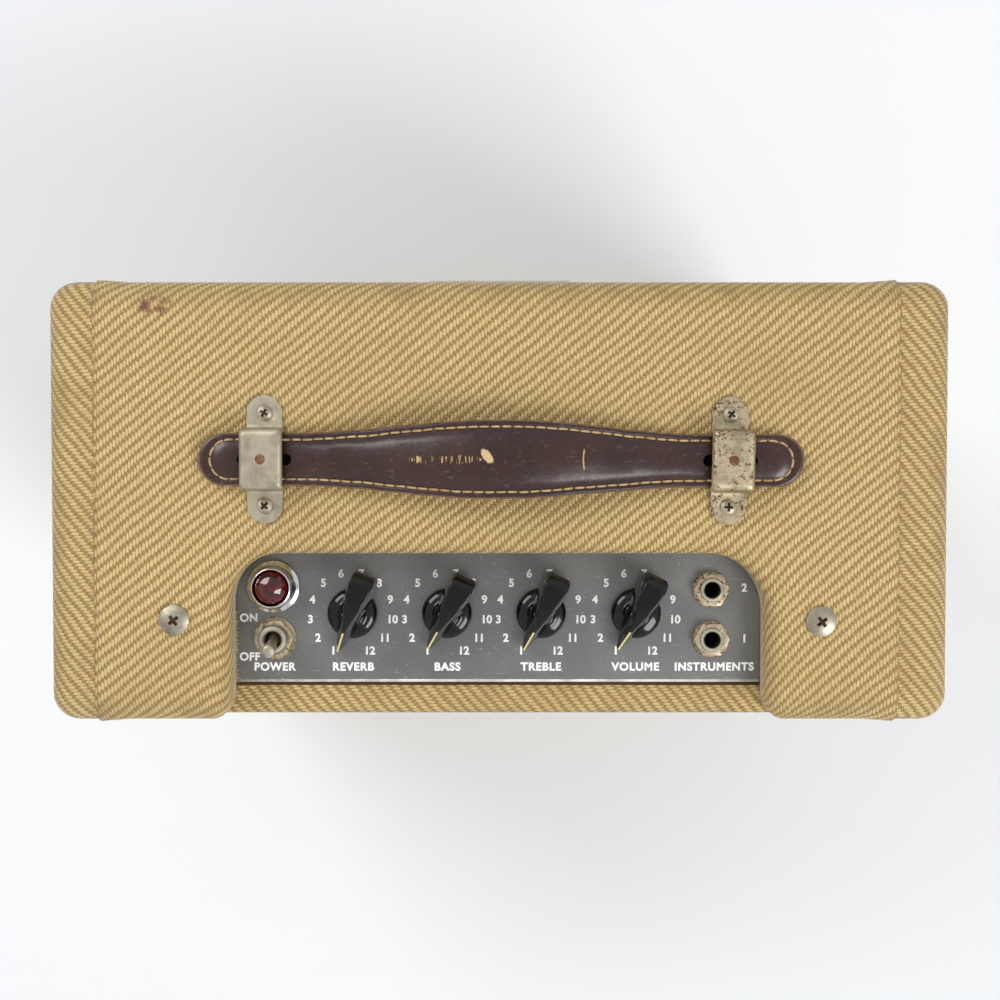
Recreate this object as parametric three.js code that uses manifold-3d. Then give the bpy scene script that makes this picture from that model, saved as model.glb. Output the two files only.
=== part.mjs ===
// A small tweed-covered guitar combo amplifier, modelled as the pieces it comes apart into.
// Millimetres, +Z up. The origin is at floor level under the middle of the cabinet. The grille
// looks along -Y, the control panel and the open back are at +Y, and the handle runs along X.
import * as THREE from 'three';
import Module from 'manifold-3d';
import { mergeVertices } from 'three/addons/utils/BufferGeometryUtils.js';
import { RoundedBoxGeometry } from 'three/addons/geometries/RoundedBoxGeometry.js';

const wasm = await Module();
wasm.setup();

// ---- Driving dimensions -------------------------------------------------------------------
const CABINET = { width: 356, depth: 174, height: 312, edgeRadius: 11 };
const COVER = 0.5;             // cloth covering, left off the boards all round
const FOOT = { height: 6.2, radius: 10, soleRadius: 8.5, x: 140, y: 62 };
const BOARD = 17.5;            // solid pine boards of the box
const GAP = 0.3;               // clearance between neighbouring pieces
const STEEL = 1.5;             // chassis sheet
const BRASS = 1.2;             // plated sheet of the handle caps

const NOTCH = { left: -106.3, right: 107.2, front: 20, leftRadius: 24, rightRadius: 20,
  earRadius: 9, roundOver: 6 };
const FRONT_PANEL = { thickness: 10.5, upperHeight: 42, lowerHeight: 50 };
const BAFFLE = { thickness: 12, holeRadius: 91, speakerZ: 166 };
const GRILLE_THICKNESS = 1.2;
const BADGE = { width: 57.5, height: 20, thickness: 2, drop: 19.5 };
const REAR_PANEL = { thickness: 12, top: 297, upperHeight: 92, lowerHeight: 86 };

const CHASSIS = { halfLength: 135, front: 14, rear: 73.8, depth: 50, lip: 8, bend: 1.5 };
const CONTROLS_Y = 45.4;
const KNOBS = [
  { name: 'reverb', x: 59.3, rest: 21 },
  { name: 'bass', x: 21.1, rest: 28.6 },
  { name: 'treble', x: -16.9, rest: 26 },
  { name: 'volume', x: -55.3, rest: 27.7 },
];
const KNOB = { skirtRadius: 10.1, nose: 15.9, tail: 17.4, lift: 1.5, height: 16.4 };
const POT = { radius: 12, depth: 9.5, bushingRadius: 4.7, boreRadius: 3.5 };
const SHAFT = { radius: 3.175, bottom: -10, top: 12.6 };
const PILOT = { x: 91.35, y: 34.7, rimRadius: 10.8, sleeveRadius: 8.2, jewelRadius: 6.9 };
const TOGGLE = { x: 90.9, y: 55.7, bushingRadius: 5.95, bushingTop: 6.8, boreRadius: 3.6,
  pivot: 1.6, lean: 11.5, nutAcross: 14, nutBottom: 1, nutTop: 3.8, bodyWidth: 14, bodyDepth: 24,
  bodyHeight: 18 };
const JACKS = [{ name: '1', y: 56.05 }, { name: '2', y: 35.9 }];
const JACK = { x: -85.8, boreRadius: 3.45, bushingRadius: 4.7, bodyRadius: 8, top: 4.2, bottom: -24,
  nutAcross: 12.7, nutBottom: 1, nutTop: 3.3 };
const CHASSIS_SCREWS = [{ name: 'left', x: -126.1, y: 46.8 }, { name: 'right', x: 127.3, y: 46.2 }];

const HANDLE = { y: -16.65, endWidth: 20.3, gripWidth: 30.4, thickness: 6.6, bevel: 1.6, jointX: 76,
  arch: 8, slotLength: 21.8, slotWidth: 6, slotInset: 0.5 };
// The two ends of the strap were fitted by hand: how far out each cap and each tip of leather is,
// where the end lies front to back, and how far its cap is turned, in degrees.
const HANDLE_ENDS = [
  { side: 'left', sign: -1, capX: 89.8, tipX: 118.7, y: -16.1, turn: -1.5 },
  { side: 'right', sign: 1, capX: 91.4, tipX: 117.1, y: -16.65, turn: 0 },
];
const CAP = { length: 50, flangeWidth: 13.7, boxWidth: 16.4, boxLength: 23.6, height: 11.6,
  screwOffset: 18.05, postRadius: 2.5, edge: 1.4 };
const SCREW_HOLE = { chassis: 2.5, handle: 2 };
const GROMMET = { x: 66, y: 63.8, neckRadius: 5, rimRadius: 8 };
const TUBES = [
  { name: 'rectifier_tube', x: 42, y: 44, radius: 16, length: 84, socketRadius: 10 },
  { name: 'output_tube', x: 2, y: 44, radius: 15, length: 74, socketRadius: 10 },
  { name: 'preamp_tube', x: -36, y: 44, radius: 11, length: 54, socketRadius: 8 },
];
const POWER_TRANSFORMER = { x: 102, y: 38, width: 62, depth: 54, height: 56 };
const OUTPUT_TRANSFORMER = { x: -96, y: 42, width: 44, depth: 38, height: 40 };
const CIRCUIT_BOARD = { left: -72, right: 40, front: 24, rear: 66, standoff: 6, thickness: 2.4 };
const SPEAKER = { radius: 101.5, coneRadius: 83.5, magnetRadius: 40, windows: 6, windowWidth: 34,
  windowDepth: 24, windowMiddle: 33 };
const REVERB_TANK = { halfLength: 118, front: -38, rear: 66, height: 33, sheet: 1.6 };

const ROUND = 24;              // sides of a round piece of hand size
const SMALL_ROUND = 14;        // sides of a screw or a bore

// ---- Derived places -----------------------------------------------------------------------
const WOOD = {
  x: CABINET.width / 2 - COVER,
  y: CABINET.depth / 2 - COVER,
  bottom: 6 + COVER,
  top: 6 + CABINET.height - COVER,
};
const INNER_X = WOOD.x - BOARD;
const FLOOR = WOOD.bottom + BOARD;
const CEILING = WOOD.top - BOARD;
const PANEL_Z = CEILING - GAP;
const BAFFLE_FRONT = -WOOD.y + FRONT_PANEL.thickness + GAP;
const BAFFLE_BACK = BAFFLE_FRONT + BAFFLE.thickness;
const LID_Z = WOOD.top + COVER + GAP;   // where hardware on top of the covered board starts

// ---- Looks --------------------------------------------------------------------------------
const look = (color, roughness, metalness = 0) =>
  new THREE.MeshStandardMaterial({ color, roughness, metalness });

const LOOKS = {
  pine: () => look(0xc9a06a, 0.75),
  tweed: () => look(0xc2a672, 0.85),
  ply: () => look(0xb98f5c, 0.8),
  grille: () => look(0x5a3f2b, 0.95),
  steel: () => look(0x7b7a75, 0.45, 0.8),
  nickel: () => look(0xa9a08c, 0.35, 1),
  chrome: () => look(0xc8c8c6, 0.12, 1),
  bakelite: () => look(0x0b0a0a, 0.18),
  jewel: () => look(0x6a0d12, 0.08),
  leather: () => look(0x4c3733, 0.32),
  rubber: () => look(0x1b1a19, 0.8),
  glass: () => look(0x9aa5a8, 0.08),
  paper: () => look(0x2b2826, 0.95),
  magnet: () => look(0x54524f, 0.6, 0.5),
  transformer: () => look(0x35332f, 0.5, 0.6),
  fibre: () => look(0x2d2620, 0.85),
};

// ---- Solids: joining and cutting ----------------------------------------------------------
function toSolid(geometry) {
  const plain = geometry.clone();
  plain.deleteAttribute('normal');
  plain.deleteAttribute('uv');
  const merged = mergeVertices(plain, 1e-4);
  const corners = Array.from(merged.index.array);
  const kept = [];
  for (let i = 0; i < corners.length; i += 3) {
    const [a, b, c] = corners.slice(i, i + 3);
    if (a !== b && b !== c && c !== a) kept.push(a, b, c);
  }
  return new wasm.Manifold(new wasm.Mesh({
    numProp: 3,
    vertProperties: new Float32Array(merged.attributes.position.array),
    triVerts: new Uint32Array(kept),
  }));
}

function toGeometry(solid) {
  const mesh = solid.getMesh();
  const geometry = new THREE.BufferGeometry();
  geometry.setAttribute('position', new THREE.BufferAttribute(new Float32Array(mesh.vertProperties), 3));
  geometry.setIndex(new THREE.BufferAttribute(new Uint32Array(mesh.triVerts), 1));
  geometry.computeVertexNormals();
  return geometry;
}

function cut(body, ...tools) {
  return tools.reduce((solid, tool) => solid.subtract(tool), body);
}

// ---- Shapes -------------------------------------------------------------------------------
const boxSolid = (x0, x1, y0, y1, z0, z1) => {
  const geometry = new THREE.BoxGeometry(x1 - x0, y1 - y0, z1 - z0);
  geometry.translate((x0 + x1) / 2, (y0 + y1) / 2, (z0 + z1) / 2);
  return toSolid(geometry);
};

function rodSolid(radius, z0, z1, x = 0, y = 0, sides = SMALL_ROUND) {
  const geometry = new THREE.CylinderGeometry(radius, radius, z1 - z0, sides);
  geometry.rotateX(Math.PI / 2);
  geometry.translate(x, y, (z0 + z1) / 2);
  return toSolid(geometry);
}

// A turned piece about +Z from [radius, height] points, listed up its outside.
function turned(points, sides = ROUND) {
  const geometry = new THREE.LatheGeometry(points.map(([r, z]) => new THREE.Vector2(r, z)), sides);
  geometry.rotateX(Math.PI / 2);
  return geometry;
}

// A flat outline stood on the XY plane, from z0 to z1.
function plate(shape, z0, z1, curveSegments = 8) {
  const geometry = new THREE.ExtrudeGeometry(shape, { depth: z1 - z0, bevelEnabled: false, curveSegments });
  geometry.translate(0, 0, z0);
  return geometry;
}

// An outline of [y, z] points drawn out along X.
function alongX(points, x0, x1) {
  const shape = new THREE.Shape(points.map(([y, z]) => new THREE.Vector2(y, z)));
  const geometry = new THREE.ExtrudeGeometry(shape, { depth: x1 - x0, bevelEnabled: false });
  const turn = new THREE.Matrix4().makeBasis(
    new THREE.Vector3(0, 1, 0), new THREE.Vector3(0, 0, 1), new THREE.Vector3(1, 0, 0));
  geometry.applyMatrix4(turn);
  geometry.translate(x0, 0, 0);
  return geometry;
}

function stadium(length, width) {
  const r = width / 2;
  const shape = new THREE.Shape();
  shape.moveTo(r, -(length / 2 - r));
  shape.lineTo(r, length / 2 - r);
  shape.absarc(0, length / 2 - r, r, 0, Math.PI, false);
  shape.lineTo(-r, -(length / 2 - r));
  shape.absarc(0, -(length / 2 - r), r, Math.PI, 2 * Math.PI, false);
  return shape;
}

function hexagon(across, holeRadius) {
  const r = across / 2 / Math.cos(Math.PI / 6);
  const corners = Array.from({ length: 6 }, (_, i) =>
    new THREE.Vector2(r * Math.cos(i * Math.PI / 3), r * Math.sin(i * Math.PI / 3)));
  const shape = new THREE.Shape(corners);
  shape.holes.push(new THREE.Path().absarc(0, 0, holeRadius, 0, 2 * Math.PI, true));
  return shape;
}

// A closed skin over rings of equal point count; flat(v) gives a ring's own plane for its cap.
function loft(rings, flat) {
  const count = rings[0].length;
  const positions = rings.flat().flatMap((v) => [v.x, v.y, v.z]);
  const index = [];
  for (let ring = 0; ring < rings.length - 1; ring += 1) {
    for (let i = 0; i < count; i += 1) {
      const a = ring * count + i;
      const b = ring * count + (i + 1) % count;
      index.push(a, b, b + count, a, b + count, a + count);
    }
  }
  const last = (rings.length - 1) * count;
  for (const [a, b, c] of THREE.ShapeUtils.triangulateShape(rings[0].map(flat), [])) {
    index.push(c, b, a);
  }
  for (const [a, b, c] of THREE.ShapeUtils.triangulateShape(rings.at(-1).map(flat), [])) {
    index.push(last + a, last + b, last + c);
  }
  const geometry = new THREE.BufferGeometry();
  geometry.setAttribute('position', new THREE.Float32BufferAttribute(positions, 3));
  geometry.setIndex(index);
  return geometry;
}

// ---- The scene graph ----------------------------------------------------------------------
const amplifier = new THREE.Group();

function add(name, shape, material, position = [0, 0, 0], turnZ = 0) {
  const geometry = shape.isBufferGeometry ? shape : toGeometry(shape);
  const mesh = new THREE.Mesh(geometry, material());
  mesh.name = name;
  mesh.position.set(...position);
  mesh.rotation.z = turnZ;
  amplifier.add(mesh);
  return mesh;
}

// ---- Cabinet ------------------------------------------------------------------------------
function roundedBlock() {
  const height = WOOD.top - WOOD.bottom;
  const radius = CABINET.edgeRadius - COVER;
  const geometry = new RoundedBoxGeometry(WOOD.x * 2, WOOD.y * 2, height, 3, radius);
  geometry.translate(0, 0, (WOOD.top + WOOD.bottom) / 2);
  return toSolid(geometry);
}

// The notch in the top board over the control panel, grown by `grow` all round.
function notchRing(grow, z) {
  const back = WOOD.y - NOTCH.earRadius;
  const ear = NOTCH.earRadius - grow;
  const right = NOTCH.right + NOTCH.earRadius;
  const left = NOTCH.left - NOTCH.earRadius;
  const path = new THREE.Path();
  path.moveTo(left, WOOD.y + NOTCH.earRadius);
  path.lineTo(left, WOOD.y - grow);
  path.absarc(left, back, ear, Math.PI / 2, 0, true);
  path.absarc(NOTCH.left + NOTCH.leftRadius, NOTCH.front + NOTCH.leftRadius,
    NOTCH.leftRadius + grow, Math.PI, 1.5 * Math.PI, false);
  path.absarc(NOTCH.right - NOTCH.rightRadius, NOTCH.front + NOTCH.rightRadius,
    NOTCH.rightRadius + grow, 1.5 * Math.PI, 2 * Math.PI, false);
  path.absarc(right, back, ear, Math.PI, Math.PI / 2, true);
  path.lineTo(right, WOOD.y + NOTCH.earRadius);
  return path.getPoints(4).map((p) => new THREE.Vector3(p.x, p.y, z));
}

function notchCutter() {
  const r = NOTCH.roundOver;
  const steps = 4;
  const rings = [notchRing(0, CEILING - 2)];
  for (let i = 0; i <= steps; i += 1) {
    const angle = (i / steps) * Math.PI / 2;
    rings.push(notchRing(r * (1 - Math.cos(angle)), WOOD.top - r + r * Math.sin(angle)));
  }
  rings.push(notchRing(r, WOOD.top + 2));
  return toSolid(loft(rings, (v) => new THREE.Vector2(v.x, v.y)));
}

function buildCabinet() {
  const block = roundedBlock();
  const [x, y] = [WOOD.x + 1, WOOD.y + 1];
  const hole = (radius, s) => rodSolid(radius, CEILING - 1, WOOD.top + 1, s.x, s.y, 10);
  const screwHoles = CHASSIS_SCREWS.map((s) => hole(SCREW_HOLE.chassis, s));
  const handleHoles = handleScrews().map((s) => hole(SCREW_HOLE.handle, s));
  const top = block.intersect(boxSolid(-x, x, -y, y, CEILING, WOOD.top + 1));
  add('top_board', cut(top, notchCutter(), ...screwHoles, ...handleHoles), LOOKS.pine);
  add('bottom_board', block.intersect(boxSolid(-x, x, -y, y, WOOD.bottom - 1, FLOOR)), LOOKS.pine);
  const side = (x0, x1) => block.intersect(boxSolid(x0, x1, -y, y, FLOOR + GAP, CEILING - GAP));
  add('side_board_left', side(-x, -INNER_X), LOOKS.pine);
  add('side_board_right', side(INNER_X, x), LOOKS.pine);
}

// ---- Front --------------------------------------------------------------------------------
function buildFront() {
  const x = INNER_X - GAP;
  const upperBottom = CEILING - GAP - FRONT_PANEL.upperHeight;
  const lowerTop = FLOOR + GAP + FRONT_PANEL.lowerHeight;
  const front = -WOOD.y;
  const back = BAFFLE_FRONT - GAP;
  add('front_upper_panel', boxSolid(-x, x, front, back, upperBottom, CEILING - GAP), LOOKS.tweed);
  add('front_lower_panel', boxSolid(-x, x, front, back, FLOOR + GAP, lowerTop), LOOKS.tweed);
  const grille = boxSolid(-x, x, back - GRILLE_THICKNESS, back, lowerTop + GAP, upperBottom - GAP);
  add('grille_cloth', grille, LOOKS.grille);
  const hole = toSolid(new THREE.CylinderGeometry(BAFFLE.holeRadius, BAFFLE.holeRadius, 40, 40)
    .translate(0, BAFFLE_FRONT, BAFFLE.speakerZ));
  const baffle = boxSolid(-x, x, BAFFLE_FRONT, BAFFLE_BACK, FLOOR + GAP, CEILING - GAP);
  add('baffle_board', cut(baffle, hole), LOOKS.ply);
  const badgeTop = WOOD.top + COVER - BADGE.drop;
  const badge = new RoundedBoxGeometry(BADGE.width, BADGE.thickness, BADGE.height, 1, 0.8);
  add('badge_plate', badge, LOOKS.nickel,
    [0, front - COVER - BADGE.thickness / 2, badgeTop + BADGE.height / 2 - BADGE.height]);
}

// ---- Back ---------------------------------------------------------------------------------
function buildBack() {
  const x = INNER_X - GAP;
  const y0 = WOOD.y - REAR_PANEL.thickness;
  const upper = boxSolid(-x, x, y0, WOOD.y, REAR_PANEL.top - REAR_PANEL.upperHeight, REAR_PANEL.top);
  const lower = boxSolid(-x, x, y0, WOOD.y, FLOOR + GAP, FLOOR + GAP + REAR_PANEL.lowerHeight);
  add('rear_upper_panel', upper, LOOKS.tweed);
  add('rear_lower_panel', lower, LOOKS.tweed);
}

// ---- Chassis and what is fastened in it ---------------------------------------------------
function chassisHoles() {
  const top = (radius, x, y) => rodSolid(radius, PANEL_Z - 4, PANEL_Z + 1, x, y);
  const bottom = PANEL_Z - CHASSIS.depth;
  return [
    ...KNOBS.map((k) => top(POT.bushingRadius + GAP, k.x, CONTROLS_Y)),
    ...JACKS.map((j) => top(JACK.bushingRadius + GAP, JACK.x, j.y)),
    ...CHASSIS_SCREWS.map((s) => top(SCREW_HOLE.chassis, s.x, s.y)),
    top(PILOT.sleeveRadius + GAP, PILOT.x, PILOT.y),
    top(TOGGLE.bushingRadius + GAP, TOGGLE.x, TOGGLE.y),
    rodSolid(GROMMET.neckRadius + GAP, bottom - 1, bottom + 3, GROMMET.x, GROMMET.y),
    ...TUBES.map((t) => rodSolid(t.socketRadius + GAP, bottom - 1, bottom + 3, t.x, t.y)),
  ];
}

// The folded edge at the panel's rear (side 1) or front (side -1), as [y, z] points from low to high.
function bend(edge, side) {
  const r = CHASSIS.bend;
  return [0, 30, 60, 90].map((degrees) => {
    const a = THREE.MathUtils.degToRad(degrees);
    return [edge + side * r * (Math.cos(a) - 1), PANEL_Z - r * (1 - Math.sin(a))];
  });
}

function buildChassis() {
  const { front, rear, depth, lip, halfLength } = CHASSIS;
  const bottom = PANEL_Z - depth;
  const s = STEEL;
  const outline = [[front, bottom], [rear, bottom], ...bend(rear, 1), ...bend(front, -1).reverse()];
  const x = halfLength - s;
  const inside = boxSolid(-x, x, front + s, rear - s, bottom + s, PANEL_Z - s);
  const openRear = boxSolid(-x, x, rear - 2 * s, rear + 1, bottom + lip, PANEL_Z - lip);
  const channel = cut(toSolid(alongX(outline, -halfLength, halfLength)), inside, openRear);
  add('chassis', cut(channel, ...chassisHoles()), LOOKS.steel);
}

function crossRecess(z, reach, width, depth) {
  return boxSolid(-reach, reach, -width, width, z - depth, z + 1)
    .add(boxSolid(-width, width, -reach, reach, z - depth, z + 1));
}

function buildChassisScrews() {
  const head = [[0, -26], [2.1, -26], [2.1, 0.2], [5.7, 0.2], [5.3, 1.2], [3.6, 2.5], [0, 2.9]];
  const screw = cut(toSolid(turned(head, 20)), crossRecess(2.9, 2.3, 0.45, 1.3));
  for (const s of CHASSIS_SCREWS) {
    add(`chassis_screw_${s.name}`, screw, LOOKS.nickel, [s.x, s.y, WOOD.top + COVER]);
  }
}

// ---- Pilot lamp and power switch ----------------------------------------------------------
function buildPilot() {
  const inner = PILOT.jewelRadius + GAP;
  const bezel = [
    [inner, -12], [PILOT.sleeveRadius, -12], [PILOT.sleeveRadius, 0.3], [PILOT.rimRadius, 0.3],
    [PILOT.rimRadius, 1.6], [9.6, 5.2], [8, 8.4], [inner, 8.4], [inner, -12],
  ];
  const jewel = [
    [0, -8], [PILOT.jewelRadius, -8], [PILOT.jewelRadius, 7.2], [5.6, 9], [3.2, 10.4], [0, 11],
  ];
  add('pilot_bezel', turned(bezel), LOOKS.chrome, [PILOT.x, PILOT.y, PANEL_Z]);
  add('pilot_jewel', turned(jewel), LOOKS.jewel, [PILOT.x, PILOT.y, PANEL_Z]);
}

function toggleLever() {
  const lever = turned([
    [0, -2.6], [1.6, -2.4], [2.4, -1], [2.4, 0.6], [1.9, 1.8], [1.9, 7], [2.6, 11.5], [2.8, 13.6],
    [2.3, 15.2], [1.1, 16.1], [0, 16.3],
  ], SMALL_ROUND);
  lever.rotateX(-THREE.MathUtils.degToRad(TOGGLE.lean));
  return lever;
}

function buildToggle() {
  const body = new RoundedBoxGeometry(TOGGLE.bodyWidth, TOGGLE.bodyDepth, TOGGLE.bodyHeight, 1, 1);
  body.translate(0, 0, -STEEL - GAP - TOGGLE.bodyHeight / 2);
  const bushing = rodSolid(TOGGLE.bushingRadius, -STEEL - GAP - 2, TOGGLE.bushingTop, 0, 0, ROUND);
  const bore = rodSolid(TOGGLE.boreRadius, -8, TOGGLE.bushingTop + 1);
  const at = [TOGGLE.x, TOGGLE.y, PANEL_Z];
  add('toggle_switch_body', cut(toSolid(body).add(bushing), bore), LOOKS.nickel, at);
  const nut = plate(hexagon(TOGGLE.nutAcross, TOGGLE.bushingRadius + GAP), TOGGLE.nutBottom, TOGGLE.nutTop);
  add('toggle_nut', nut, LOOKS.nickel, at, Math.PI / 12);
  add('toggle_lever', toggleLever(), LOOKS.nickel, [TOGGLE.x, TOGGLE.y, PANEL_Z + TOGGLE.pivot]);
}

// ---- Knobs, shafts and potentiometers -----------------------------------------------------
// The pointer is a tapering wedge: [distance from the axis, half width below, half width on top,
// underside, top], from the thin nose to the broad tail, which ends in a sloping facet.
function pointer() {
  const stations = [
    [KNOB.nose, 1.1, 0.5, 1.2, 4.6],
    [9.4, 2.6, 1, 1.2, 9.8],
    [3.5, 4.4, 1.7, 2, 14.9],
    [-5, 5.3, 3.1, 2, KNOB.height],
    [-13.6, 5.8, 4.6, 3, KNOB.height],
    [-KNOB.tail, 6, 5.4, 4.2, 12.2],
  ];
  const rings = stations.map(([along, below, above, low, high]) => [
    new THREE.Vector3(-below, along, low),
    new THREE.Vector3(below, along, low),
    new THREE.Vector3(above, along, high),
    new THREE.Vector3(-above, along, high),
  ]);
  return toSolid(loft(rings, (v) => new THREE.Vector2(v.x, v.z)));
}

function knob() {
  const r = KNOB.skirtRadius;
  const skirt = toSolid(turned([[0, 0], [r, 0], [r, 1.4], [r - 0.7, 3.2], [r - 2.4, 4.6], [0, 4.9]], ROUND));
  const hollow = rodSolid(5.6, -1, 5.6);
  const bore = rodSolid(SHAFT.radius + GAP, 5, 11.6);
  return cut(skirt.add(pointer()), hollow, bore);
}

function potentiometer() {
  const low = -STEEL - GAP;
  return turned([
    [POT.boreRadius, low - POT.depth], [POT.radius, low - POT.depth], [POT.radius, low],
    [POT.bushingRadius, low], [POT.bushingRadius, 5.6], [POT.boreRadius, 5.6],
    [POT.boreRadius, low - POT.depth],
  ], 18);
}

// Turned clockwise seen from above, so a pointer at rest angle a looks along (sin a, cos a).
function buildKnobs() {
  for (const k of KNOBS) {
    const turnZ = -THREE.MathUtils.degToRad(k.rest);
    add(`knob_${k.name}`, knob(), LOOKS.bakelite, [k.x, CONTROLS_Y, PANEL_Z + KNOB.lift], turnZ);
    add(`pot_${k.name}`, potentiometer(), LOOKS.steel, [k.x, CONTROLS_Y, PANEL_Z]);
    const shaft = rodSolid(SHAFT.radius, SHAFT.bottom, SHAFT.top);
    add(`shaft_${k.name}`, shaft, LOOKS.nickel, [k.x, CONTROLS_Y, PANEL_Z]);
  }
}

// ---- Input jacks --------------------------------------------------------------------------
function buildJacks() {
  const low = -STEEL - GAP;
  const barrel = turned([
    [JACK.boreRadius, JACK.bottom], [JACK.bodyRadius, JACK.bottom], [JACK.bodyRadius, low],
    [JACK.bushingRadius, low],
    [JACK.bushingRadius, JACK.top], [JACK.boreRadius, JACK.top], [JACK.boreRadius, JACK.bottom],
  ], 16);
  const nut = plate(hexagon(JACK.nutAcross, JACK.bushingRadius + GAP), JACK.nutBottom, JACK.nutTop);
  for (const j of JACKS) {
    const at = [JACK.x, j.y, PANEL_Z];
    add(`input_jack_${j.name}`, barrel.clone(), LOOKS.nickel, at);
    add(`jack_nut_${j.name}`, nut.clone(), LOOKS.nickel, at);
  }
}

// ---- Under the chassis --------------------------------------------------------------------
// A valve hanging by its base, with the socket's neck standing up through the chassis.
function tube({ radius, length, socketRadius }) {
  const base = 20;
  return turned([
    [0, -length], [radius * 0.45, -length + 1.5], [radius * 0.82, -length + 6], [radius * 0.96, -length + 13],
    [radius * 0.96, -base], [radius, -base], [radius, -GAP], [socketRadius, -GAP],
    [socketRadius, STEEL + 2], [0, STEEL + 2],
  ], 18);
}

function transformer({ width, depth, height }) {
  const core = boxSolid(-width / 2, width / 2, -depth * 0.22, depth * 0.22, -height, 0);
  const bell = new RoundedBoxGeometry(width * 0.8, depth, height * 0.8, 1, 5);
  bell.translate(0, 0, -height / 2);
  const flange = boxSolid(-width * 0.6, width * 0.6, -depth * 0.3, depth * 0.3, -2, 0);
  return toSolid(bell).add(core).add(flange);
}

function buildUnderChassis() {
  const z = PANEL_Z - CHASSIS.depth;
  for (const t of TUBES) add(t.name, tube(t), LOOKS.glass, [t.x, t.y, z]);
  const hang = (name, t) => add(name, transformer(t), LOOKS.transformer, [t.x, t.y, z - GAP]);
  hang('power_transformer', POWER_TRANSFORMER);
  hang('output_transformer', OUTPUT_TRANSFORMER);
  const grommet = [
    [3.4, -2.4], [GROMMET.rimRadius, -2.4], [GROMMET.rimRadius, -GAP], [GROMMET.neckRadius, -GAP],
    [GROMMET.neckRadius, STEEL + GAP], [GROMMET.rimRadius, STEEL + GAP], [GROMMET.rimRadius, STEEL + 2.4],
    [3.4, STEEL + 2.4], [3.4, -2.4],
  ];
  add('mains_grommet', turned(grommet, SMALL_ROUND), LOOKS.rubber, [GROMMET.x, GROMMET.y, z]);
  const b = CIRCUIT_BOARD;
  const low = z + STEEL + b.standoff;
  add('circuit_board', boxSolid(b.left, b.right, b.front, b.rear, low, low + b.thickness), LOOKS.fibre);
}

// ---- Speaker, on the back of the baffle ---------------------------------------------------
// Turned about the axis that runs back from the baffle; [radius, distance behind the baffle].
function speakerPiece(points, sides) {
  const geometry = new THREE.LatheGeometry(points.map(([r, d]) => new THREE.Vector2(r, d)), sides);
  geometry.translate(0, BAFFLE_BACK + GAP, BAFFLE.speakerZ);
  return geometry;
}

function buildSpeaker() {
  const R = SPEAKER.radius;
  const basket = toSolid(speakerPiece([
    [86.5, 0], [R, 0], [R, 1.6], [89.6, 1.6], [84.6, 12], [45, 52], [21, 52], [21, 50.4], [44.2, 50.4],
    [83.2, 11.2], [86.5, 0],
  ], 30));
  const windows = [];
  for (let i = 0; i < SPEAKER.windows; i += 1) {
    const window = new THREE.BoxGeometry(SPEAKER.windowWidth, SPEAKER.windowDepth, R);
    window.translate(0, 0, R * 0.83);
    window.rotateY((i + 0.5) * 2 * Math.PI / SPEAKER.windows);
    window.translate(0, BAFFLE_BACK + SPEAKER.windowMiddle, BAFFLE.speakerZ);
    windows.push(toSolid(window));
  }
  add('speaker_frame', cut(basket, ...windows), LOOKS.steel);
  const magnet = [
    [0, 52.4], [SPEAKER.magnetRadius - 6, 52.4], [SPEAKER.magnetRadius, 54], [SPEAKER.magnetRadius, 69],
    [SPEAKER.magnetRadius - 4, 72], [0, 72],
  ];
  add('speaker_magnet', speakerPiece(magnet, ROUND), LOOKS.magnet);
  const cone = [
    [0, 24], [10, 26], [17, 31], [19, 33], [60, 14.5], [79, 4.6], [SPEAKER.coneRadius, 4],
    [SPEAKER.coneRadius, 5.2], [79.6, 5.9], [60.5, 16], [20.4, 35], [20.4, 44], [19.2, 44], [18.6, 34.8],
    [16.2, 32.3], [9.6, 27.4], [0, 25.4],
  ];
  add('speaker_cone', speakerPiece(cone, ROUND), LOOKS.paper);
}

// ---- Reverb tank, feet --------------------------------------------------------------------
function buildReverbTank() {
  const { halfLength: x, front, rear, height, sheet: s } = REVERB_TANK;
  const low = FLOOR + GAP;
  const tank = boxSolid(-x, x, front, rear, low, low + height);
  const inside = boxSolid(-x + s, x - s, front + s, rear - s, low - 1, low + height - s);
  add('reverb_tank', cut(tank, inside), LOOKS.steel);
}

function buildFeet() {
  const foot = turned([[0, 0], [FOOT.soleRadius, 0], [FOOT.radius, FOOT.height], [0, FOOT.height]], 20);
  for (const [side, x] of [['left', -FOOT.x], ['right', FOOT.x]]) {
    for (const [end, y] of [['front', -FOOT.y], ['rear', FOOT.y]]) {
      add(`foot_${end}_${side}`, foot.clone(), LOOKS.rubber, [x, y, 0]);
    }
  }
}

// ---- Handle: strap in three lengths, two caps, four screws --------------------------------
function handleScrews() {
  const places = [];
  for (const { side, sign, capX, y, turn } of HANDLE_ENDS) {
    const a = THREE.MathUtils.degToRad(turn);
    for (const [end, along] of [['front', -CAP.screwOffset], ['rear', CAP.screwOffset]]) {
      const name = `handle_screw_${end}_${side}`;
      places.push({ name, x: sign * capX - along * Math.sin(a), y: y + along * Math.cos(a) });
    }
  }
  return places;
}

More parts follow.
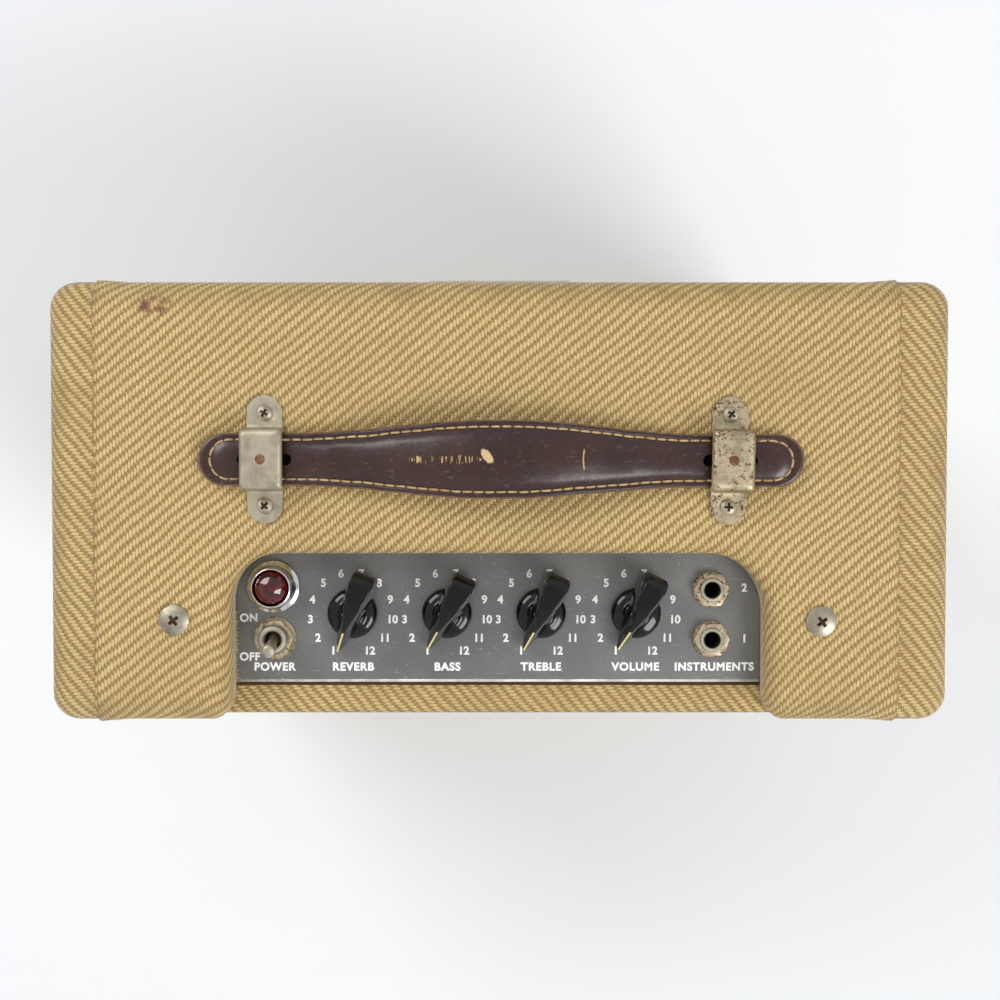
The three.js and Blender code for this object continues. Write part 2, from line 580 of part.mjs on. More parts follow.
function handleCap() {
  const half = CAP.boxLength / 2;
  const flange = toSolid(plate(stadium(CAP.length, CAP.flangeWidth), 0, BRASS, 6));
  const box = new RoundedBoxGeometry(CAP.boxWidth, CAP.boxLength, CAP.height + 4, 1, CAP.edge);
  box.translate(0, 0, (CAP.height - 4) / 2);
  const channel = boxSolid(-20, 20, -half + BRASS, half - BRASS, -5, CAP.height - BRASS);
  const below = boxSolid(-20, 20, -half - 1, half + 1, -6, 0);
  const post = rodSolid(CAP.postRadius, 0, CAP.height - 0.2);
  const holes = [-1, 1].map((sign) =>
    rodSolid(SCREW_HOLE.handle, -1, BRASS + 1, 0, sign * CAP.screwOffset, 10));
  return cut(flange.add(toSolid(box)), channel, below, ...holes).add(post);
}

// How far the strap is on its way from a cap, 0, to the middle of the grip, 1.
const strapSwell = (x) => 0.5 + 0.5 * Math.cos(Math.PI * Math.min(1, Math.abs(x) / HANDLE.jointX));

function handleGrip() {
  const rings = [];
  const steps = 16;
  const lean = HANDLE.thickness;
  for (let i = 0; i <= steps; i += 1) {
    const along = (2 * i) / steps - 1;
    const xLow = along * (HANDLE.jointX - 2 * GAP - lean / 2);
    const xHigh = along * (HANDLE.jointX - 2 * GAP + lean / 2);
    const swell = strapSwell(xLow);
    const half = (HANDLE.endWidth + (HANDLE.gripWidth - HANDLE.endWidth) * swell) / 2;
    const low = HANDLE.arch * swell;
    const high = low + HANDLE.thickness;
    const { bevel } = HANDLE;
    rings.push([
      new THREE.Vector3(xLow, -half + bevel, low), new THREE.Vector3(xLow, half - bevel, low),
      new THREE.Vector3((xLow + xHigh) / 2, half, (low + high) / 2),
      new THREE.Vector3(xHigh, half - bevel, high), new THREE.Vector3(xHigh, -half + bevel, high),
      new THREE.Vector3((xLow + xHigh) / 2, -half, (low + high) / 2),
    ]);
  }
  return toSolid(loft(rings, (v) => new THREE.Vector2(v.y, v.z)));
}

// One end of the strap, drawn towards +X: a round tip, a slot under the cap and a sloping joint.
function handleEnd({ capX, tipX }) {
  const r = HANDLE.endWidth / 2;
  const inner = HANDLE.jointX - HANDLE.thickness;
  const shape = new THREE.Shape();
  shape.moveTo(inner, -r);
  shape.lineTo(tipX - r, -r);
  shape.absarc(tipX - r, 0, r, -Math.PI / 2, Math.PI / 2, false);
  shape.lineTo(inner, r);
  const slot = new THREE.Path();
  const s = HANDLE.slotWidth / 2;
  const reach = HANDLE.slotLength / 2 - s;
  const middle = capX - HANDLE.slotInset;
  slot.absarc(middle + reach, 0, s, -Math.PI / 2, Math.PI / 2, false);
  slot.absarc(middle - reach, 0, s, Math.PI / 2, 1.5 * Math.PI, false);
  shape.holes.push(slot);
  const strap = toSolid(plate(shape, 0, HANDLE.thickness, 6));
  const size = 40;
  const scarf = new THREE.BoxGeometry(size, size, size);
  scarf.rotateY(-Math.PI / 4);
  const away = size / 2 * Math.SQRT1_2;
  scarf.translate(HANDLE.jointX - away, 0, HANDLE.thickness / 2 + away);
  return cut(strap, toSolid(scarf));
}

function buildHandle() {
  const strapZ = LID_Z + GAP;
  add('handle_grip', handleGrip(), LOOKS.leather, [0, HANDLE.y, strapZ]);
  for (const end of HANDLE_ENDS) {
    const strap = handleEnd(end).rotate([0, 0, end.sign < 0 ? 180 : 0]);
    const turnZ = THREE.MathUtils.degToRad(end.turn);
    add(`handle_end_${end.side}`, strap, LOOKS.leather, [0, end.y, strapZ]);
    add(`handle_cap_${end.side}`, handleCap(), LOOKS.nickel, [end.sign * end.capX, end.y, LID_Z], turnZ);
  }
  const head = [[0, -13], [0.6, -12], [1.7, -9], [1.7, 1.4], [2.95, 1.4], [2.85, 2.6], [2, 3.5], [0, 3.8]];
  const screw = cut(toSolid(turned(head, 14)), crossRecess(3.8, 1.5, 0.35, 1));
  for (const s of handleScrews()) add(s.name, screw, LOOKS.nickel, [s.x, s.y, LID_Z + GAP]);
}

buildCabinet();
buildFront();
buildBack();
buildChassis();
buildChassisScrews();
buildPilot();
buildToggle();
buildKnobs();
buildJacks();
buildUnderChassis();
buildSpeaker();
buildReverbTank();
buildFeet();
buildHandle();

export default amplifier;
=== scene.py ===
"""A tweed-covered guitar amplifier: covering, leather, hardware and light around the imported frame.

Lengths in this file are millimetres unless a name says otherwise; meshes are written in metres.
"""
import bisect
import math
import random
from contextlib import contextmanager

import bmesh
import bpy
from mathutils import Matrix, Vector, geometry, noise


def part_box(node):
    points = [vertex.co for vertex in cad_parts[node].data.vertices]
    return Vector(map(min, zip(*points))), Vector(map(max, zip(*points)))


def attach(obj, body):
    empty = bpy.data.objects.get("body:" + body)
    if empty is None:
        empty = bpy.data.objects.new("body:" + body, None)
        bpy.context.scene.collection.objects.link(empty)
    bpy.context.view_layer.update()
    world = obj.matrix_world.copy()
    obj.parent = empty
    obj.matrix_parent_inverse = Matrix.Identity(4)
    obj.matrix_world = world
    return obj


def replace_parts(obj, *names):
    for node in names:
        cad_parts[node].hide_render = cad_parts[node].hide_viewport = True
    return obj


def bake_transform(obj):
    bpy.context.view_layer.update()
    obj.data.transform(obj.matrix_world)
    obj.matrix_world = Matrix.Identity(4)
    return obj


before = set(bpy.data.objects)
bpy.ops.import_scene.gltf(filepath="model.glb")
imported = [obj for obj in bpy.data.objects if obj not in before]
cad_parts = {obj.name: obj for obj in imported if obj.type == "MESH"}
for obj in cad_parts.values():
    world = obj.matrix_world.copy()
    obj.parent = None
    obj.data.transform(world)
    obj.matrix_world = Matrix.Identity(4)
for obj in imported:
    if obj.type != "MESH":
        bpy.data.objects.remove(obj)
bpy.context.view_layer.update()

MM = 0.001
ROOT = "cabinet"
UP, REAR, FRONT = Vector((0, 0, 1)), Vector((0, 1, 0)), Vector((0, -1, 0))
rng = random.Random(7)

# ---- Places, from the frame ----------------------------------------------------------------


def box(node):
    """A CAD node's lowest and highest corners, in millimetres."""
    low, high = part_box(node)
    return Vector(low) / MM, Vector(high) / MM


def middle(node):
    low, high = box(node)
    return (low + high) / 2


COVER = 0.5                                  # how far the covering stands out from the boards
CLOTH = 0.4                                  # the cloth's own thickness
EDGE = 11.0                                  # radius of the covered cabinet's edges
TOP_LOW, TOP_HIGH = box("top_board")
HALF_X = TOP_HIGH.x + COVER
HALF_Y = TOP_HIGH.y + COVER
TOP_Z = TOP_HIGH.z + COVER
BASE_Z = box("bottom_board")[0].z - COVER
INNER_X = box("side_board_right")[0].x
PANEL_Z = box("chassis")[1].z
PANEL_REAR = box("chassis")[1].y
SEAM = {-1: 156.6, 1: 158.6}                  # how far out the top and side coverings meet, by side
CONTROLS_Y = middle("pot_bass").y
TUCK, WALL_TUCK = 2.0, 0.6                   # how far the cloth turns under an edge, and in the notch
NOTCH_LEFT, NOTCH_RIGHT, NOTCH_FRONT = -106.3 + COVER, 107.2 - COVER, 20.0 + COVER
NOTCH_LEFT_RADIUS, NOTCH_RIGHT_RADIUS = 24.0 - COVER, 20.0 - COVER
EAR_RADIUS, NOTCH_ROLL = 9.0 + COVER, 6.0 + COVER
KNOBS = {"reverb": 21.0, "bass": 28.6, "treble": 26.0, "volume": 27.7}   # rest angles
HANDLE_Y = middle("handle_grip").y
STRAP_Z = box("handle_end_right")[0].z
STRAP_TIP = {-1: -box("handle_end_left")[0].x, 1: box("handle_end_right")[1].x}
STRAP_TIP_Y = {-1: middle("handle_end_left").y, 1: middle("handle_end_right").y}
CAP_MIDDLE = {-1: middle("handle_cap_left"), 1: middle("handle_cap_right")}
CAP_TURN = {-1: -1.5, 1: 0.0}

# ---- Colour --------------------------------------------------------------------------------


def linear(r, g, b):
    """An 8-bit display colour as the linear colour that shaders use."""
    def one(c):
        c /= 255
        return c / 12.92 if c <= 0.04045 else ((c + 0.055) / 1.055) ** 2.4
    return (one(r), one(g), one(b), 1.0)


# ---- Shader writing ------------------------------------------------------------------------


class Shader:
    """A Principled material whose nodes are written as expressions."""

    def __init__(self, name, **sockets):
        self.material = bpy.data.materials.new(name)
        self.material.use_nodes = True
        self.nodes = self.material.node_tree.nodes
        self.links = self.material.node_tree.links
        self.surface = self.nodes["Principled BSDF"]
        for key, value in sockets.items():
            self.surface.inputs[key.replace("_", " ")].default_value = value

    def put(self, socket, value):
        if isinstance(value, bpy.types.NodeSocket):
            self.links.new(value, socket)
        elif value is not None:
            socket.default_value = value

    def node(self, kind, inputs=(), out=0, **settings):
        node = self.nodes.new("ShaderNode" + kind)
        for key, value in settings.items():
            setattr(node, key, value)
        pairs = inputs.items() if isinstance(inputs, dict) else enumerate(inputs)
        for key, value in pairs:
            self.put(node.inputs[key], value)
        return node.outputs[out]

    def math(self, operation, *values):
        return self.node("Math", values, operation=operation)

    def sum(self, a, b):
        return self.math("ADD", a, b)

    def mul(self, a, b):
        return self.math("MULTIPLY", a, b)

    def mix(self, factor, a, b):
        inputs = {"Factor": factor, 6: a, 7: b}
        return self.node("Mix", inputs, out=2, data_type="RGBA")

    def ramp(self, value, low, high, to_low=0.0, to_high=1.0):
        return self.node("MapRange", (value, low, high, to_low, to_high), interpolation_type="SMOOTHSTEP")

    def position(self):
        """Where the surface is, in millimetres, from the mesh itself."""
        place = self.node("TexCoord", out=3)
        return self.node("VectorMath", (place, (1000, 1000, 1000)), operation="MULTIPLY")

    def noise(self, vector, scale, detail=3.0, rough=0.55, out=0):
        inputs = {"Vector": vector, "Scale": scale, "Detail": detail, "Roughness": rough}
        return self.node("TexNoise", inputs, out=out)

    def scaled(self, vector, by):
        return self.node("VectorMath", (vector, by), operation="MULTIPLY")

    def white(self, vector):
        return self.node("TexWhiteNoise", {"Vector": vector}, noise_dimensions="3D")

    def join(self, x, y, z=0.0):
        return self.node("CombineXYZ", (x, y, z))

    def split(self, vector):
        node = self.nodes.new("ShaderNodeSeparateXYZ")
        self.links.new(vector, node.inputs[0])
        return node.outputs

    def attribute(self, name):
        return self.node("Attribute", out=2, attribute_name=name)

    def bump(self, height, distance_mm, strength=1.0):
        return self.node("Bump", {"Strength": strength, "Distance": distance_mm * MM, "Height": height})

    def finish(self, **links):
        for key, value in links.items():
            self.put(self.surface.inputs[key.replace("_", " ")], value)
        return self.material


# ---- Materials -----------------------------------------------------------------------------

WARP = (0.803, 0.0225)                       # light threads per millimetre across and along the cloth
WEFT = (-0.0427, 0.859)                      # brown threads, which lie a little askew
FLOAT = 2.45                                 # how many brown threads a light one lies over, of every four
TURNED_IN = 27.0                             # how far the side covering reaches in round the openings
RAW, RAW_BAND = 2.0, 7.0                     # a cut edge's value of the edge attribute, and its width
STAIN = (HALF_X - 42.5, -HALF_Y + 11.5, TOP_Z)
BARE_SPOT = (4.6, HANDLE_Y - 1.2, 0)
LONG_CRACK_X = -32.0


def weave_fields(sh, across, along):
    """A two-over, two-under twill: which thread is on top, how high it stands, and its own number."""
    fu = sh.sum(sh.mul(across, WARP[0]), sh.mul(along, WARP[1]))
    fv = sh.sum(sh.mul(across, WEFT[0]), sh.mul(along, WEFT[1]))
    column, row = sh.math("FLOOR", fu), sh.math("FLOOR", fv)
    warp_phase = sh.math("FLOORED_MODULO", sh.sum(column, sh.sum(fv, FLOAT / 2 - 1)), 4.0)
    weft_phase = sh.math("FLOORED_MODULO", sh.sum(fu, row), 4.0)
    warp_on_top = sh.math("LESS_THAN", warp_phase, FLOAT)

    def crown(length_phase, width_fraction):
        along_float = sh.math("SUBTRACT", length_phase, 1.0)
        across_float = sh.math("SUBTRACT", sh.mul(width_fraction, 2.0), 1.0)
        long_part = sh.math("SUBTRACT", 1.0, sh.math("POWER", sh.math("ABSOLUTE", along_float), 3.0))
        wide_part = sh.math("SUBTRACT", 1.0, sh.math("POWER", sh.math("ABSOLUTE", across_float), 2.2))
        return sh.math("MAXIMUM", sh.mul(long_part, wide_part), 0.0)

    warp = crown(sh.mul(warp_phase, 2 / FLOAT), sh.math("FRACT", fu))
    weft = crown(sh.math("SUBTRACT", weft_phase, 2.0), sh.math("FRACT", fv))
    warp_number = sh.join(column, sh.math("FLOOR", sh.math("DIVIDE", sh.sum(column, fv), 4.0)), 1.0)
    weft_number = sh.join(sh.math("FLOOR", sh.math("DIVIDE", sh.sum(fu, row), 4.0)), row, 5.0)
    return warp_on_top, warp, weft, sh.white(warp_number), sh.white(weft_number)


def thread_colours(sh, warp, weft):
    """The light and the brown thread's colours, each paler on its crown and darker towards its edges:
    painted shade between the threads.
    """
    light = sh.mix(sh.ramp(warp, 0.0, 0.6), linear(168, 137, 84), linear(222, 196, 134))
    brown = sh.mix(sh.ramp(weft, 0.05, 0.6), linear(110, 82, 46), linear(180, 147, 92))
    return light, brown


def tweed_material(name, stain=False):
    """Lacquered tweed: pale floats over brown threads, darker on its rolled edges and falls: partly
    grime, partly painted shade.
    """
    sh = Shader(name, Specular_IOR_Level=0.35, Sheen_Weight=0.12, Sheen_Roughness=0.4)
    place = sh.position()
    uv = sh.node("UVMap", uv_map="Weave")
    wander = sh.noise(sh.scaled(uv, (0.05, 0.05, 0.05)), 1.0, 2.0, out=1)
    wander = sh.node("VectorMath", (wander, (0.5, 0.5, 0.5)), operation="SUBTRACT")
    fine = sh.noise(uv, 0.7, 1.0, out=1)
    fine = sh.node("VectorMath", (fine, (0.5, 0.5, 0.5)), operation="SUBTRACT")
    moved = sh.node("VectorMath", (uv, sh.scaled(wander, (2.2, 2.2, 0))), operation="ADD")
    moved = sh.node("VectorMath", (moved, sh.scaled(fine, (0.55, 0.55, 0))), operation="ADD")
    parts = sh.split(moved)
    warp_on_top, warp, weft, warp_tone, weft_tone = weave_fields(sh, parts[0], parts[1])
    fibres = sh.noise(sh.scaled(uv, (5.0, 1.6, 1)), 1.0, 3.0, 0.7)
    cross = sh.noise(sh.scaled(uv, (1.6, 5.0, 1)), 1.0, 3.0, 0.7)

    light, brown = thread_colours(sh, warp, weft)
    light = sh.mix(sh.mul(warp_tone, 0.5), light, linear(200, 170, 108))
    light = sh.mix(sh.ramp(fibres, 0.45, 0.75, 0, 0.55), light, linear(250, 232, 182))
    light = sh.mix(sh.ramp(fibres, 0.5, 0.3, 0, 0.5), light, linear(176, 146, 92))
    brown = sh.mix(sh.mul(weft_tone, 0.5), brown, linear(150, 119, 69))
    brown = sh.mix(sh.ramp(cross, 0.45, 0.8, 0, 0.3), brown, linear(196, 165, 108))
    cloth = sh.mix(warp_on_top, brown, light)
    specks = sh.ramp(sh.noise(sh.scaled(uv, (2.6, 2.0, 1)), 1.0, 4.0, 0.75), 0.56, 0.68, 0, 0.5)
    cloth = sh.mix(specks, cloth, linear(104, 80, 44))

    blotch = sh.noise(place, 0.018, 4.0, 0.6)
    cloth = sh.mix(sh.ramp(blotch, 0.42, 0.75, 0, 0.22), cloth, linear(160, 128, 78))
    # darker where the edge value is high: partly grime, partly painted shade on the rolled edges
    grime_and_roll_shade = sh.mul(sh.attribute("edge"), sh.ramp(sh.noise(place, 0.09, 4.0, 0.7), 0.35, 0.75, 0.05, 0.5))
    cloth = sh.mix(grime_and_roll_shade, cloth, linear(134, 104, 62))
    fluff = sh.ramp(sh.noise(place, 1.9, 3.0, 0.7), 0.4, 0.6)
    raw = sh.mix(fluff, linear(166, 146, 108), linear(226, 208, 168))
    cloth = sh.mix(sh.ramp(sh.attribute("edge"), 1.2, 1.7), cloth, raw)
    if stain:
        cloth = add_stain(sh, cloth, place)
    height = sh.node("Mix", {"Factor": warp_on_top, 2: sh.mul(weft, 0.72), 3: warp}, data_type="FLOAT")
    height = sh.sum(height, sh.mul(fibres, 0.25))
    gloss = sh.ramp(sh.noise(place, 0.03, 3.0), 0.3, 0.7, 0.5, 0.68)
    return sh.finish(Base_Color=cloth, Roughness=gloss, Normal=sh.bump(height, 0.34, 1.0))


def add_stain(sh, cloth, place):
    """One small red-brown splash near the front corner of the top."""
    offset = sh.node("VectorMath", (place, STAIN), operation="SUBTRACT")
    offset = sh.scaled(offset, (0.5, 0.8, 0.2))
    reach = sh.node("VectorMath", (offset,), out=1, operation="LENGTH")
    ragged = sh.sum(reach, sh.mul(sh.noise(place, 0.42, 4.0, 0.7), 6.0))
    ragged = sh.sum(ragged, sh.mul(sh.noise(place, 0.16, 1.0), 9.0))
    stain = sh.ramp(ragged, 8.4, 10.6, 0.85, 0.0)
    return sh.mix(stain, cloth, linear(118, 62, 52))


def wood_material(name, pale, dark, lined=False):
    """Pine without knots; lined boards have the covering turned in round both openings."""
    sh = Shader(name, Specular_IOR_Level=0.3)
    place = sh.position()
    stretched = sh.scaled(place, (0.06, 1.0, 1.0))
    rings = sh.noise(stretched, 0.22, 5.0, 0.6)
    lines = sh.math("SINE", sh.mul(rings, 46.0))
    base = sh.mix(sh.ramp(lines, -1.0, 1.0, 0, 0.75), linear(*pale), linear(*dark))
    pores = sh.noise(stretched, 2.4, 2.0)
    base = sh.mix(sh.ramp(pores, 0.5, 0.8, 0, 0.35), base, linear(*[c * 0.7 for c in dark]))
    if lined:
        _, y, z = sh.split(place)[:3]
        warp_on_top, warp, weft, _, _ = weave_fields(sh, y, z)
        light, brown = thread_colours(sh, warp, weft)
        turned_in = sh.ramp(sh.math("ABSOLUTE", y), HALF_Y - TURNED_IN, HALF_Y - TURNED_IN + 0.4)
        base = sh.mix(turned_in, base, sh.mix(warp_on_top, brown, light))
    return sh.finish(Base_Color=base, Roughness=0.72, Normal=sh.bump(sh.sum(lines, pores), 0.12, 0.5))


def ply_material(name):
    sh = Shader(name, Specular_IOR_Level=0.25)
    place = sh.position()
    layers = sh.math("SINE", sh.mul(sh.split(place)[1], 2.6))
    grain = sh.noise(sh.scaled(place, (0.05, 0.6, 0.7)), 0.5, 4.0)
    base = sh.mix(sh.ramp(layers, -0.2, 0.2, 0, 0.4), linear(168, 128, 82), linear(128, 92, 56))
    base = sh.mix(sh.ramp(grain, 0.35, 0.7, 0, 0.5), base, linear(140, 103, 64))
    return sh.finish(Base_Color=base, Roughness=0.8, Normal=sh.bump(grain, 0.1, 0.4))


def metal_material(name, color, rough, rust=0.0, scratch=0.5, metallic=1.0, tone=None):
    """Plated or painted metal: cloudy gloss, fine scratches, and rust freckles where rust is over 0."""
    sh = Shader(name, Metallic=metallic, Specular_IOR_Level=0.5)
    place = sh.position()
    cloud = sh.noise(place, 0.16, 4.0, 0.6)
    marks = sh.noise(sh.scaled(place, (0.4, 4.5, 1.0)), 1.0, 3.0)
    base = sh.mix(sh.ramp(cloud, 0.35, 0.7), linear(*color), linear(*(tone or [c * 0.8 for c in color])))
    gloss = sh.sum(sh.ramp(cloud, 0.3, 0.7, rough * 0.8, rough * 1.3), sh.mul(marks, 0.1 * scratch))
    height = marks
    if rust > 0:
        freckle = sh.noise(place, 0.75, 6.0, 0.72)
        spread = sh.noise(place, 0.12, 3.0, 0.6)
        grains = sh.ramp(sh.sum(freckle, sh.mul(spread, 0.35)), 0.86 - rust * 0.28, 0.95 - rust * 0.22)
        rusty = sh.mix(sh.noise(place, 1.6, 2.0), linear(92, 54, 34), linear(158, 110, 76))
        base = sh.mix(grains, base, rusty)
        gloss = sh.sum(gloss, sh.mul(grains, 0.45))
        height = sh.sum(sh.mul(marks, 0.2), grains)
    return sh.finish(Base_Color=base, Roughness=gloss, Normal=sh.bump(height, 0.06, 0.3 * scratch))


def panel_material():
    """The control panel: dull grey plate with a fine tooth, dust specks and faint rubbed patches."""
    sh = Shader("panel_grey", Metallic=0.8, Specular_IOR_Level=0.4)
    place = sh.position()
    tooth = sh.noise(place, 2.2, 3.0, 0.7)
    cloud = sh.noise(place, 0.035, 4.0, 0.6)
    base = sh.mix(sh.ramp(cloud, 0.35, 0.7), linear(132, 131, 128), linear(140, 139, 136))
    base = sh.mix(sh.ramp(tooth, 0.4, 0.65, 0, 0.4), base, linear(118, 116, 113))
    speck = sh.node("TexVoronoi", {"Vector": place, "Scale": 0.42, "Randomness": 1.0}, out=0)
    dust = sh.ramp(speck, 0.05, 0.12, 0.8, 0.0)
    dust = sh.mul(dust, sh.ramp(sh.noise(place, 0.06, 3.0, 0.7), 0.42, 0.6))
    hair = sh.noise(sh.scaled(place, (0.16, 2.4, 1)), 1.0, 2.0)
    base = sh.mix(sh.ramp(hair, 0.68, 0.74, 0, 0.4), base, linear(206, 204, 200))
    base = sh.mix(dust, base, linear(232, 230, 224))
    gloss = sh.sum(sh.ramp(cloud, 0.3, 0.7, 0.4, 0.48), sh.mul(dust, 0.3))
    return sh.finish(Base_Color=base, Roughness=gloss, Normal=sh.bump(tooth, 0.03, 0.5))


def plastic_material(name, color, rough=0.12, coat=0.6):
    sh = Shader(name, Specular_IOR_Level=0.35, Coat_Weight=coat, Coat_Roughness=0.08)
    place = sh.position()
    haze = sh.noise(place, 0.35, 4.0, 0.6)
    dust = sh.ramp(sh.noise(place, 1.8, 5.0, 0.75), 0.62, 0.8, 0, 0.08)
    base = sh.mix(dust, linear(*color), linear(110, 104, 98))
    gloss = sh.ramp(haze, 0.3, 0.7, rough * 0.7, rough * 1.6)
    return sh.finish(Base_Color=base, Roughness=gloss, Normal=sh.bump(haze, 0.03, 0.3))


def jewel_material():
    sh = Shader("jewel_red", Transmission_Weight=0.15, IOR=1.5, Coat_Weight=0.6, Coat_Roughness=0.04)
    place = sh.position()
    depth = sh.noise(place, 0.35, 2.0)
    base = sh.mix(sh.ramp(depth, 0.3, 0.7), linear(46, 2, 7), linear(108, 9, 19))
    return sh.finish(Base_Color=base, Roughness=sh.ramp(depth, 0.3, 0.7, 0.04, 0.09))


def leather_material():
    """Glossy red-brown leather with fine grain, fine cracks along the grip, and pale raw edges."""
    sh = Shader("strap_leather", Specular_IOR_Level=0.45, Coat_Weight=0.25, Coat_Roughness=0.27)
    place = sh.position()
    x, y, _ = sh.split(place)[:3]
    pebble = sh.node("TexVoronoi", {"Vector": place, "Scale": 1.3, "Randomness": 1.0}, feature="F1")
    crease = sh.noise(place, 0.5, 5.0, 0.7)
    cloud = sh.noise(place, 0.05, 4.0, 0.6)
    base = sh.mix(sh.ramp(cloud, 0.3, 0.7), linear(46, 24, 19), linear(60, 35, 28))
    base = sh.mix(sh.ramp(crease, 0.3, 0.5, 0.3, 0.0), base, linear(34, 20, 17))
    rubbed = sh.mul(sh.ramp(sh.noise(sh.scaled(place, (1, 2.4, 1)), 0.3, 4.0), 0.6, 0.72), 0.35)
    base = sh.mix(rubbed, base, linear(112, 104, 102))

    edge = sh.attribute("edge")
    chewed = sh.noise(place, 0.55, 5.0, 0.75)
    raw = sh.ramp(sh.sum(edge, sh.mul(chewed, 0.9)), 1.0, 1.14)
    base = sh.mix(sh.mul(raw, 0.55), base, linear(150, 116, 86))

    split = crack_lines(sh, place, x, y)
    base = sh.mix(split, base, linear(205, 170, 118))
    base = sh.mix(bare_spot(sh, place), base, linear(212, 184, 138))
    height = sh.sum(sh.mul(pebble, 0.3), sh.sum(crease, sh.mul(split, -0.8)))
    gloss = sh.sum(sh.ramp(crease, 0.3, 0.7, 0.24, 0.36), sh.mul(raw, 0.35))
    return sh.finish(Base_Color=base, Roughness=gloss, Normal=sh.bump(height, 0.1, 0.4))


def crack_lines(sh, place, x, y):
    """Short pale cracks across the grip, longest beside the bare spot, and one long one far from it."""
    comb = sh.noise(sh.scaled(place, (1.0, 0.09, 0.0)), 1.55, 1.0)
    lines = sh.ramp(comb, 0.57, 0.62)
    length = sh.mul(sh.noise(sh.join(x, 3.0, 0.0), 0.9, 2.0), 3.4)
    away = sh.math("ABSOLUTE", sh.math("SUBTRACT", y, HANDLE_Y + 0.1))
    window = sh.mul(sh.ramp(x, 6.0, 9.0), sh.ramp(x, 28.0, 40.0, 1, 0))
    reach = sh.math("SUBTRACT", sh.mul(length, window), away)
    short = sh.mul(lines, sh.ramp(reach, 0.0, 0.3))
    bend = sh.sum(sh.math("ABSOLUTE", sh.sum(x, sh.sum(-LONG_CRACK_X, sh.mul(away, 0.12)))),
                  sh.mul(sh.noise(place, 0.8, 2.0), 0.5))
    single = sh.mul(sh.ramp(bend, 0.42, 0.62, 1, 0), sh.ramp(away, 3.2, 4.4, 1, 0))
    return sh.math("MAXIMUM", short, sh.mul(single, 0.8))


def bare_spot(sh, place):
    """A small drop-shaped spot near the middle where the finish has come away."""
    offset = sh.node("VectorMath", (place, BARE_SPOT), operation="SUBTRACT")
    x, y, _ = sh.split(offset)[:3]
    slant = sh.sum(x, sh.mul(y, 0.5))
    squeezed = sh.join(slant, sh.mul(y, 0.72))
    reach = sh.node("VectorMath", (squeezed,), out=1, operation="LENGTH")
    ragged = sh.sum(reach, sh.mul(sh.noise(place, 0.8, 3.0), 1.3))
    return sh.ramp(ragged, 2.3, 2.8, 0.95, 0.0)


def thread_material():
    sh = Shader("stitch_thread", Specular_IOR_Level=0.3, Sheen_Weight=0.2)
    place = sh.position()
    twist = sh.math("SINE", sh.mul(sh.sum(sh.split(place)[0], sh.mul(sh.split(place)[1], 1.4)), 9.0))
    tone = sh.noise(place, 0.3, 3.0)
    base = sh.mix(sh.ramp(tone, 0.3, 0.7), linear(214, 182, 132), linear(184, 146, 98))
    base = sh.mix(sh.ramp(twist, -1.0, 1.0, 0.25, 0), base, linear(140, 102, 66))
    return sh.finish(Base_Color=base, Roughness=0.75, Normal=sh.bump(twist, 0.08, 0.6))


def grille_material():
    """Dark brown grille cloth: a plain open weave with a fine gold stripe."""
    sh = Shader("grille_weave", Specular_IOR_Level=0.3, Sheen_Weight=0.1)
    uv = sh.node("UVMap", uv_map="Weave")
    u, v, _ = sh.split(uv)[:3]
    across = sh.math("SINE", sh.mul(u, math.pi / 0.9))
    along = sh.math("SINE", sh.mul(v, math.pi / 0.9))
    check = sh.mul(across, along)
    stripe = sh.ramp(sh.math("PINGPONG", sh.sum(u, v), 4.0), 3.3, 3.6)
    base = sh.mix(sh.ramp(check, -0.4, 0.4), linear(58, 38, 27), linear(96, 66, 44))
    base = sh.mix(sh.mul(stripe, 0.7), base, linear(186, 148, 88))
    return sh.finish(Base_Color=base, Roughness=0.8, Normal=sh.bump(check, 0.25, 0.8))


def glass_material():
    sh = Shader("valve_glass", Transmission_Weight=1.0, IOR=1.45)
    smear = sh.noise(sh.position(), 0.15, 3.0)
    return sh.finish(Base_Color=linear(236, 240, 240), Roughness=sh.ramp(smear, 0.4, 0.8, 0.01, 0.09))


def grained_material(name, color, other, rough, specular, grain, blend, bump):
    """A plain matt stuff: two close tones by its grain, and a little relief."""
    sh = Shader(name, Specular_IOR_Level=specular)
    field = sh.noise(sh.position(), *grain)
    base = sh.mix(sh.ramp(field, *blend), linear(*color), linear(*other))
    return sh.finish(Base_Color=base, Roughness=rough, Normal=sh.bump(field, *bump))


def paint_material(name, color, rough=0.45):
    other = [c * 0.8 for c in color]
    return grained_material(name, color, other, rough, 0.45, (0.5, 3.0), (0.3, 0.7), (0.06, 0.4))


def ink_material():
    sh = Shader("panel_ink", Specular_IOR_Level=0.3)
    worn = sh.noise(sh.position(), 1.4, 4.0, 0.7)
    base = sh.mix(sh.ramp(worn, 0.55, 0.78, 0, 0.45), linear(253, 253, 250), linear(190, 189, 184))
    return sh.finish(Base_Color=base, Roughness=0.6)


